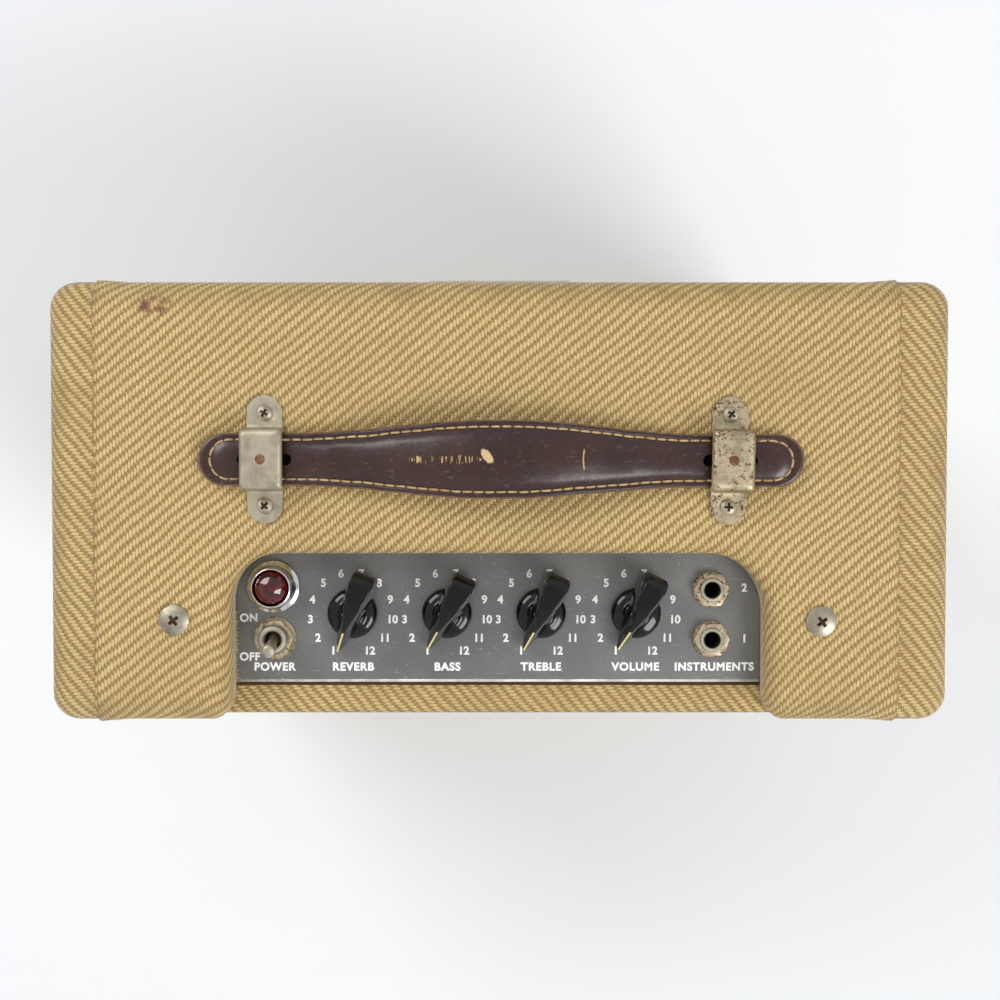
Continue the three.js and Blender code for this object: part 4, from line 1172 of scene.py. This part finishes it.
def cap_path(base, top):
    """The cap's section from its front flange over the bridge: (y, z, half width)."""
    path = []
    for i in range(9):
        a = math.pi / 2 * i / 8
        path.append((CAP_HALF_LENGTH - CAP_NARROW * (1 - math.cos(a)), base, CAP_NARROW * math.sin(a)))
    path += [(CAP_HALF_LENGTH - y, base, CAP_NARROW) for y in (8, 9, 10, 11, 11.8)]
    wall = CAP_HALF_BOX
    path += [(wall + 0.7, base + 0.25, CAP_NARROW + 0.2), (wall + 0.15, base + 1.0, CAP_NARROW + 0.8)]
    path += [(wall, base + 3, CAP_WIDE), (wall, top - 2.4, CAP_WIDE), (wall - 0.25, top - 1.3, CAP_WIDE)]
    path += [(wall - 0.8, top - 0.55, CAP_WIDE), (wall - 1.7, top - 0.1, CAP_WIDE)]
    path += [(y, top, CAP_WIDE) for y in (9, 8, 6, 4, 2)]
    return path + [(0, top, CAP_WIDE)] + [(-y, z, w) for y, z, w in reversed(path)]


def build_cap(side, sign, material):
    """A pressed cap: two screw flanges and a raised bridge with turned-down lips over the strap."""
    low, high = box(f"handle_cap_{side}")
    base, top = low.z + SHEET, high.z
    spin = Matrix.Rotation(math.radians(CAP_TURN[sign]), 3, "Z")
    centre = Vector((CAP_MIDDLE[sign].x, CAP_MIDDLE[sign].y, 0))
    across = [-1, -0.985, -0.96, -0.92, -0.86, -0.8, -0.74, -0.5, 0]
    across += [-t for t in reversed(across[:-1])]

    def point(t, y, z, width):
        raised = max(0.0, min(1.0, (z - base - 1) / 3))
        lip = max(0.0, (abs(t) - LIP) / (1 - LIP)) ** 2.4 * raised
        droop = 1.5 * lip if abs(y) < CAP_HALF_BOX - 0.4 else 0.0
        inward = 0.9 * lip if abs(y) > CAP_HALF_BOX - 1.0 else 0.0
        away = math.hypot(t * width, abs(y) - CAP_SCREW_Y)
        dish = 0.55 * max(0.0, 1 - (away / 4.6) ** 2) if raised == 0 else 0.0
        flat = Vector((t * width, y - math.copysign(inward, y), 0))
        return centre + spin @ flat + UP * (z - droop - dish)

    shape = Shape()
    for y, z, width in cap_path(base, top):
        shape.ring([point(t, y, z, width) for t in across])
    cap = piece(f"cap_{side}", *shape.skin(wrap=False), material, None, "nickel")
    with editing(cap.data) as bm:
        bmesh.ops.remove_doubles(bm, verts=bm.verts, dist=0.02 * MM)
        bmesh.ops.recalc_face_normals(bm, faces=bm.faces)
        if sum(f.normal.z * f.calc_area() for f in bm.faces) < 0:
            bmesh.ops.reverse_faces(bm, faces=bm.faces)
    modify(cap, "SOLIDIFY", thickness=1.0 * MM, offset=-1)
    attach(cap, ROOT)
    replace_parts(cap, f"handle_cap_{side}")
    lathe(f"cap_rivet_{side}", RIVET, (centre.x, centre.y, top), M["rust"], slot="nickel", sides=28)
    for end in ("front", "rear"):
        node = f"handle_screw_{end}_{side}"
        place = middle(node)
        place.z = base - 0.35
        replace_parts(screw(f"phillips_{end}_{side}", place, 2.95, 1.9, rng.uniform(0, 90)), node)


def screw(name, place, radius, height, turn, axis=UP, shank=9.0, reach=0.55, material="screw"):
    """A domed cross-head screw on its shank."""
    rings, sides, slot_width = 18, 72, 0.27
    recess, shape = set(), Shape()
    spin = UP.rotation_difference(axis)
    for k in range(rings + 1):
        r = radius * k / rings
        points = []
        for a in around(sides if k else 1):
            arm = radial(r / (reach * radius), a - math.radians(turn))
            short, long = sorted((abs(arm.x), abs(arm.y)))
            z = height * (1 - (r / radius) ** 2.6 * 0.55)
            if long < 1 and short < slot_width:
                recess.add(len(shape.verts) + len(points))
                z -= height * (0.75 - 0.35 * long)
            points.append(spin @ radial(r, a, z) + Vector(place))
        shape.ring(points)
    for share, z in ((1.0, 0.0), (0.5, -0.2), (0.42, -shank), (0.1, -shank - 2)):
        shape.ring([spin @ radial(radius * share, a, z) + Vector(place) for a in around(sides)])
    obj = piece(name, *shape.skin(ends=True), M[material], ROOT, "nickel")
    obj.data.materials.append(M["recess"])
    for polygon in obj.data.polygons:
        polygon.material_index = int(any(v in recess for v in polygon.vertices))
    sharpen(outward(obj), 40)
    return obj


# ---- Control panel -------------------------------------------------------------------------


SKIRT = [(0, 0), (9.9, 0), (10.1, 0.2), (10.12, 0.9), (10.0, 1.5), (9.65, 2.15), (9.1, 2.7), (8.4, 3.15),
         (7.5, 3.5), (6.6, 3.72), (5.9, 3.9), (5.5, 4.2), (5.3, 4.8), (5.2, 6.0), (4.6, 6.3), (0, 6.3)]
ARROW = [                                    # along, half width below, half width above, low, high
    (15.9, 0.75, 0.3, 1.0, 4.2), (12.5, 1.75, 0.35, 0.9, 7.2), (9.0, 2.75, 0.45, 0.9, 10.2),
    (6.0, 3.6, 0.7, 1.0, 12.8), (2.5, 4.4, 1.3, 1.4, 15.0), (-3.0, 5.0, 2.7, 1.6, 16.2),
    (-9.0, 5.4, 3.9, 1.9, 16.4), (-13.4, 5.6, 4.4, 2.4, 16.2), (-16.2, 5.2, 4.1, 3.2, 14.2),
    (-17.4, 4.2, 3.2, 4.6, 11.2),
]
NOSE_LINE = [(7.2, 11.95), (12.5, 7.35), (16.1, 4.4)]     # along, high
LINE_SECTION = [(-0.36, -0.4), (-0.36, 0.12), (0.36, 0.12), (0.36, -0.4)]


def build_knob(name, rest):
    """A pointer knob: glossy skirt, arrow body with a sloping tail, and a cream line on the nose."""
    centre = middle(f"pot_{name}")
    foot = Vector((centre.x, centre.y, box(f"knob_{name}")[0].z))
    body = f"{name}_knob"
    obj = lathe(f"skirt_{name}", SKIRT, foot, M["bakelite"], body, "bakelite", sides=72, crease=60)
    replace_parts(obj, f"knob_{name}")
    spin = Matrix.Rotation(-math.radians(rest), 3, "Z")
    shape = Shape()
    for along, below, above, low, high in ARROW:
        waist = low + (high - low) * 0.3
        right = [(above, high), (above + 0.3, high - 0.6), (below * 1.02, waist), (below, low)]
        ring = [(-x, z) for x, z in reversed(right)] + right
        shape.ring([foot + spin @ Vector((x, along, z)) for x, z in ring])
    arrow = outward(piece(f"arrow_{name}", *shape.skin(ends=True), M["bakelite"], body, "bakelite"))
    modify(arrow, "BEVEL", width=0.45 * MM, segments=3, limit_method="ANGLE",
           angle_limit=math.radians(20))
    line = Shape()
    for along, high in NOSE_LINE:
        line.ring([foot + spin @ Vector((x, along, high + lift)) for x, lift in LINE_SECTION])
    outward(piece(f"pointer_line_{name}", *line.skin(ends=True), M["cream"], body, smooth=False))


PILOT_RIM = [(7.1, -1), (10.6, -1), (10.75, 0.1), (10.8, 1.3), (10.5, 1.6), (9.6, 2.05), (8.75, 2.5),
             (8.5, 3.0), (8.4, 5.0), (8.3, 7.2), (8.15, 7.9), (7.85, 8.2), (7.4, 8.3), (7.2, 7.9),
             (7.1, 7.0), (7.1, -1)]
JEWEL_ROWS = [                               # radius, height, twist as a share of a facet
    (6.9, -4.0, 0), (6.95, 0.6, 0), (6.2, 2.0, 0.5), (4.6, 3.3, 0.0), (2.4, 4.2, 0.5), (0.5, 4.45, 0.0),
]
FACETS = 12


def build_pilot():
    jewel = middle("pilot_jewel")

    def knurl(radius, height, i):
        return -0.5 * (i % 2) if radius > 10.55 and height < 1.5 else 0.0

    rim = lathe("pilot_rim", PILOT_RIM, (jewel.x, jewel.y, PANEL_Z + 0.4), M["chrome"], slot="chrome",
                sides=110, ripple=knurl)
    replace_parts(rim, "pilot_bezel")
    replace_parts(jewel_mesh(Vector((jewel.x, jewel.y, PANEL_Z + 6.5))), "pilot_jewel")


def jewel_mesh(place):
    """A cut glass lens: a straight skirt and three belts of facets up to a small star."""
    shape = Shape()
    for radius, height, twist in JEWEL_ROWS:
        shape.ring([place + radial(radius, a + 2 * math.pi * twist / FACETS, height)
                    for a in around(FACETS)])
    faces = [tuple(shape.rings[0]), tuple(shape.rings[-1])]
    for k, (low, high) in enumerate(zip(shape.rings, shape.rings[1:])):
        for i in range(FACETS):
            j = (i + 1) % FACETS
            if JEWEL_ROWS[k + 1][2] > JEWEL_ROWS[k][2]:
                faces += [(low[i], low[j], high[i]), (low[j], high[j], high[i])]
            else:
                faces += [(low[i], high[j], high[i]), (low[i], low[j], high[j])]
    return outward(piece("jewel_lens", shape.verts, faces, M["jewel"], ROOT, "jewel", smooth=False))


def hex_nut(name, place, across, bore, low, high, material, turn=0.0):
    """A six-sided nut, its top corners turned off round a raised face."""
    sides, half = 72, across / 2
    corner = half / math.cos(math.pi / 6) - half

    def flat_radius(a):
        return half / math.cos((a - math.radians(turn)) % (math.pi / 3) - math.pi / 6)

    def shoulder(a):
        return high - 0.05 - 0.3 * (flat_radius(a) - half) / corner

    rows = [(lambda a: bore, lambda a: low), (flat_radius, lambda a: low), (flat_radius, shoulder),
            (lambda a: half * 0.985, lambda a: high), (lambda a: bore, lambda a: high)]
    shape = Shape()
    for radius, height in rows:
        shape.ring([Vector(place) + radial(radius(a), a, height(a)) for a in around(sides)])
    obj = outward(piece(name, *shape.skin(closed=True), material, ROOT, "nickel"))
    sharpen(obj, 24)
    return obj


TOGGLE_WASHER = [(6.1, 0.05), (8.6, 0.05), (8.7, 0.4), (8.5, 0.7), (6.1, 0.7), (6.1, 0.05)]
TOGGLE_NUT_ACROSS, TOGGLE_BORE, TOGGLE_THREADS = 14.0, 6.1, 9
TOGGLE_PIVOT, TOGGLE_LEAN = 1.6, 11.5        # height over the panel, and rest angle in degrees


def build_toggle():
    low, high = box("toggle_nut")
    at = (low + high) / 2
    place = (at.x, at.y, PANEL_Z)
    nut = hex_nut("toggle_hex", place, TOGGLE_NUT_ACROSS, TOGGLE_BORE, low.z - PANEL_Z, high.z - PANEL_Z,
                  M["worn"], 8)
    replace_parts(nut, "toggle_nut")
    lathe("toggle_washer", TOGGLE_WASHER, place, M["cap_rusty"], slot="nickel", sides=48)
    top = box("toggle_switch_body")[1].z - PANEL_Z
    bush = [(3.5, 0.0), (5.9, 0.0)]
    for i in range(TOGGLE_THREADS):
        z = 0.2 + (top - 0.7) * i / TOGGLE_THREADS
        bush += [(5.98, z), (6.08, z + 0.35)]
    bush += [(5.7, top - 0.15), (5.1, top + 0.1), (4.0, top + 0.1), (3.5, top - 0.4), (3.5, 0.0)]
    lathe("toggle_bush", bush, place, M["cap_clean"], slot="nickel", sides=40, crease=25)
    pivot = Vector((at.x, at.y, PANEL_Z + TOGGLE_PIVOT))
    lean = math.radians(TOGGLE_LEAN)
    axis = Vector((0, math.sin(lean), math.cos(lean)))
    reach = (box("toggle_lever")[1].z - pivot.z) / math.cos(lean)
    bat = [(0, -1.5), (1.8, -1.3), (2.3, 0), (2.0, 1.5), (1.85, 4)]
    bat += [(radius, reach * share) for radius, share in (
        (1.95, 0.5), (2.25, 0.7), (2.65, 0.84), (2.75, 0.91), (2.45, 0.97), (1.5, 1.0), (0, 1.01))]
    lever = lathe("toggle_bat", bat, pivot, M["screw"], "power_switch_lever", "nickel", 40, axis, 70)
    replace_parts(lever, "toggle_lever")


JACK_WASHER = [(5.0, 0.05), (7.35, 0.05), (7.5, 0.45), (7.3, 0.85), (5.0, 0.9), (5.0, 0.05)]
JACK_NUT_ACROSS, JACK_BORE = 12.7, 4.85


def build_jacks():
    for number in ("1", "2"):
        low, high = box(f"jack_nut_{number}")
        at = (low + high) / 2
        place = (at.x, at.y, PANEL_Z)

        def ragged(radius, height, i):
            return 0.22 * noise.noise(Vector((i * 0.7, at.y, radius))) if radius > 7 else 0.0

        lathe(f"jack_washer_{number}", JACK_WASHER, place, M["cap_rusty"], slot="nickel", sides=60,
              ripple=ragged)
        nut = hex_nut(f"jack_hex_{number}", place, JACK_NUT_ACROSS, JACK_BORE, 0.9, high.z - PANEL_Z,
                      M["worn"])
        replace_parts(nut, f"jack_nut_{number}")
        top = box(f"input_jack_{number}")[1].z - PANEL_Z
        sleeve = [(3.35, -8), (4.6, -8), (4.78, 0.3), (4.78, top - 0.4), (4.5, top + 0.1),
                  (3.8, top + 0.15), (3.4, top - 0.2), (3.35, -8)]
        lathe(f"jack_sleeve_{number}", sleeve, place, M["cap_clean"], slot="nickel", sides=48)
        # a near-black lining down the socket's bore: painted shade in the hole
        socket = [(0, -9.5), (3.3, -9.5), (3.3, top - 0.7), (3.15, top - 0.7), (3.15, -8.0), (0, -8.0)]
        lathe(f"jack_floor_{number}", socket, place, M["dark"], slot="nickel", sides=24)


def label(text, x, y, name, spread=1.0, heavy=0.19):
    """Raised ink lettering on the panel, read from the rear of the cabinet."""
    curve = bpy.data.curves.new(name, "FONT")
    curve.body, curve.align_x, curve.align_y = text, "CENTER", "CENTER"
    curve.size, curve.extrude, curve.bevel_depth = LETTER_SIZE * MM, 0.02 * MM, heavy * MM
    curve.bevel_resolution, curve.space_character = 0, spread
    obj = link(bpy.data.objects.new(name, curve))
    obj.rotation_euler = (0, 0, math.pi)
    obj.location = Vector((x, y, PANEL_Z + 0.05)) * MM
    bpy.context.view_layer.update()
    mesh = bpy.data.meshes.new_from_object(obj.evaluated_get(bpy.context.evaluated_depsgraph_get()))
    mesh.transform(Matrix.Diagonal((1, 1, 0.3, 1)))
    mesh.transform(obj.matrix_world)
    bpy.data.objects.remove(obj)
    mesh.materials.clear()
    mesh.materials.append(M["ink"])
    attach(link(bpy.data.objects.new(name, mesh)), ROOT)


WORDS_Y, LETTER_SIZE = CONTROLS_Y + 22.1, 4.5
DIAL_RADIUS, DIAL_START, DIAL_STEP = 16.75, 26.0, 28.0
DIAL_OFFSET = (0.7, 0.5)                     # from a knob's axis to the middle of its ring of numbers


def build_labels():
    toggle, jacks = middle("toggle_nut"), middle("jack_nut_1")
    label("ON", toggle.x + 10.7, toggle.y - 8.1, "word_on", 1.08, 0.18)
    label("OFF", toggle.x + 10.4, toggle.y + 7.7, "word_off", 1.08, 0.17)
    label("POWER", toggle.x + 0.3, WORDS_Y, "word_power", 1.12, 0.2)
    label("INSTRUMENTS", jacks.x - 1.4, WORDS_Y, "word_instruments", 1.13, 0.2)
    label("2", jacks.x - 13.6, middle("jack_nut_2").y - 0.5, "word_jack_2")
    label("1", jacks.x - 13.7, jacks.y, "word_jack_1")
    for name in KNOBS:
        pot = middle(f"pot_{name}")
        label(name.upper(), pot.x, WORDS_Y, f"word_{name}", 1.14, 0.2)
        for n in range(12):
            a = math.radians(DIAL_START + DIAL_STEP * n)
            x = pot.x + DIAL_OFFSET[0] + DIAL_RADIUS * math.sin(a)
            y = pot.y + DIAL_OFFSET[1] + DIAL_RADIUS * math.cos(a)
            label(str(n + 1), x, y, f"dial_{name}_{n + 1}")


def build_panel_edge_highlight():
    """A near-white strip along the panel's rear bend: a painted highlight where the bend catches the
    light.
    """
    bend, proud = 1.5, 0.07
    angles = [math.radians(8 + 74 * i / 6) for i in range(7)]    # the arc of the bend that the painted highlight covers
    section = [(bend + proud, a) for a in angles] + [(bend - 0.2, a) for a in reversed(angles)]
    shape = Shape()
    for x in (NOTCH_LEFT + 0.6, NOTCH_RIGHT - 0.6):
        shape.ring([(x, PANEL_REAR - bend + r * math.sin(a), PANEL_Z - bend + r * math.cos(a))
                    for r, a in section])
    outward(piece("panel_edge_highlight", *shape.skin(ends=True), M["bright"], slot="steel"))


def build_fray():
    """Broken thread ends of the covering along the notch's left wall, beside the switch."""
    thread, sides, rows = Shape(), 4, 5
    for _ in range(150):
        y = rng.uniform(NOTCH_FRONT + 24, PANEL_REAR - 1)
        z = PANEL_Z + rng.uniform(0.5, 9.0)
        length, lean, drop = rng.uniform(0.8, 2.3), rng.uniform(-1.5, 1.5), rng.uniform(0.1, 1.0)
        radius = rng.uniform(0.09, 0.16)
        for i in range(rows):
            t = i / (rows - 1)
            centre = Vector((NOTCH_RIGHT + 0.3 - length * t, y + lean * t * t, z - drop * t * t * 0.6))
            thread.ring([centre + Vector((0, math.cos(a), math.sin(a))) * radius * (1 - 0.5 * t)
                         for a in around(sides)])
        thread.skin(ends=True)
    outward(piece("frayed_ends", thread.verts, thread.faces, M["fray"], slot="tweed"))


def build_panel_screws():
    for side in ("left", "right"):
        node = f"chassis_screw_{side}"
        low, high = box(node)
        at, radius = (low + high) / 2, (high.x - low.x) / 2 + 0.25
        made = screw(f"panel_screw_{side}", (at.x, at.y, TOP_Z + 0.05), radius, 2.3, 38, shank=14,
                     reach=0.36, material="dull")
        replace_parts(made, node)


# ---- Back, inside and underneath -----------------------------------------------------------


def build_feet():
    for end in ("front", "rear"):
        for side in ("left", "right"):
            node = f"foot_{end}_{side}"
            low, high = box(node)
            at, tall = (low + high) / 2, high.z - low.z
            shape = [(0, 2.4), (2.6, 2.4), (3.6, 0.4), (4.2, 0), (7.6, 0), (8.3, 0.3), (8.7, 0.9),
                     (9.7, tall - 1), (9.9, tall - 0.3), (9.7, tall), (4.6, tall), (4.2, tall - 0.2),
                     (0, tall - 0.2)]
            foot = lathe(f"rubber_{end}_{side}", shape, (at.x, at.y, low.z), M["rubber"], slot="rubber",
                         sides=40)
            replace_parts(foot, node)
            screw(f"foot_screw_{end}_{side}", (at.x, at.y, 2.5), 2.3, 1.2, 20, -UP, 1.0)


def build_rear_hardware():
    """Cup washers and screws that hold the rear boards."""
    for node in ("rear_upper_panel", "rear_lower_panel"):
        low, high = box(node)
        for x in (-150, 150):
            for z in (low.z + 14, high.z - 14):
                rear_screw(f"{node}_{x}_{round(z)}".replace("-", "m"), (x, HALF_Y + 0.05, z))


CUP = [(0, -0.4), (5.2, -0.4), (5.3, 0.1), (4.3, 1.0), (3.2, 1.3), (0, 1.3)]


def rear_screw(name, place):
    lathe(f"cup_{name}", CUP, place, M["nickel"], slot="nickel", sides=36, axis=REAR)
    screw(f"screw_{name}", Vector(place) + 0.9 * REAR, 3.0, 1.1, rng.uniform(0, 90), REAR, 8)


def paint_frame_nodes():
    """Shop-drawing nodes that stay as they are get their real finish."""
    finishes = {
        "pine": ("top_board", "bottom_board"),
        "lined": ("side_board_left", "side_board_right"),
        "ply": ("baffle_board",),
        "panel": ("chassis",),
        "steel": ("speaker_frame", "reverb_tank", "toggle_switch_body"),
        "nickel": ("input_jack_1", "input_jack_2"),
        "magnet": ("speaker_magnet",),
        "paper": ("speaker_cone",),
        "black_paint": ("power_transformer", "output_transformer"),
        "fibre": ("circuit_board",),
        "rubber": ("mains_grommet",),
        "glass": ("rectifier_tube", "output_tube", "preamp_tube"),
    }
    chosen = {node: key for key, nodes in finishes.items() for node in nodes}
    for name in KNOBS:
        chosen[f"pot_{name}"] = "steel"
        chosen[f"shaft_{name}"] = "nickel"
    for node, key in chosen.items():
        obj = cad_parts[node]
        for material_slot in obj.material_slots:
            material_slot.link = "OBJECT"
            material_slot.material = M[key]


# ---- Room ----------------------------------------------------------------------------------


FLOOR_HALF = 4000
CEILING = (0.86, 0.97, 0.67, 0.52)           # the sky's light falls between these heights, and so far
SKY_COLOUR = (0.95, 0.97, 1.0, 1)
EYE, TARGET = Vector((-0.3, -15, TOP_Z + 520)), Vector((-0.3, -0.8, TOP_Z))
LENS, SENSOR = 47.9, 36


def build_room():
    corners = [(x * FLOOR_HALF, y * FLOOR_HALF, 0) for x, y in ((-1, -1), (1, -1), (1, 1), (-1, 1))]
    piece("floor", corners, [(0, 1, 2, 3)], floor_material(), None)
    world = bpy.data.worlds.new("studio")
    world.use_nodes = True
    nodes, links = world.node_tree.nodes, world.node_tree.links
    direction = nodes.new("ShaderNodeTexCoord").outputs["Generated"]
    parts, ceiling = nodes.new("ShaderNodeSeparateXYZ"), nodes.new("ShaderNodeMapRange")
    ceiling.interpolation_type = "SMOOTHSTEP"
    links.new(direction, parts.inputs[0])
    links.new(parts.outputs[2], ceiling.inputs[0])
    for i, value in enumerate(CEILING):
        ceiling.inputs[i + 1].default_value = value
    background = nodes["Background"]
    background.inputs["Color"].default_value = SKY_COLOUR
    links.new(ceiling.outputs[0], background.inputs["Strength"])
    bpy.context.scene.world = world
    soft_light("key", (1000, -850, 1350), 760, 11.0)
    soft_light("fill", (-1500, 1275, 2025), 1140, 35.0)
    camera = link(bpy.data.objects.new("camera", bpy.data.cameras.new("camera")))
    camera.data.lens, camera.data.sensor_width = LENS, SENSOR
    camera.data.clip_start, camera.data.clip_end = 0.01, 20
    look, right = (TARGET - EYE).normalized(), Vector((-1, 0, 0))
    turn = Matrix((right, right.cross(look).normalized(), -look)).transposed()
    camera.matrix_world = Matrix.Translation(EYE * MM) @ turn.to_4x4()
    bpy.context.scene.camera = camera


def floor_material():
    sh = Shader("floor_white", Specular_IOR_Level=0.2)
    cloud = sh.noise(sh.position(), 0.004, 3.0)
    base = sh.mix(cloud, linear(238, 239, 240), linear(244, 245, 246))
    return sh.finish(Base_Color=base, Roughness=0.9)


def soft_light(name, place, size, power):
    light = bpy.data.lights.new(name, "AREA")
    light.shape, light.size, light.size_y, light.energy = "RECTANGLE", size * MM, size * MM, power
    obj = link(bpy.data.objects.new(name, light))
    obj.location = Vector(place) * MM
    aim = Vector((0, 0, 200)) - Vector(place)
    obj.rotation_euler = aim.to_track_quat("-Z", "Y").to_euler()


build_covering()
build_grille()
build_strap()
build_cap("left", -1, M["cap_rusty"])
build_cap("right", 1, M["cap_clean"])
for knob, angle in KNOBS.items():
    build_knob(knob, angle)
for build in (build_pilot, build_toggle, build_jacks, build_labels, build_panel_edge_highlight, build_fray,
              build_panel_screws, build_feet, build_rear_hardware, paint_frame_nodes, build_room):
    build()
bpy.context.scene.view_settings.view_transform = "Standard"
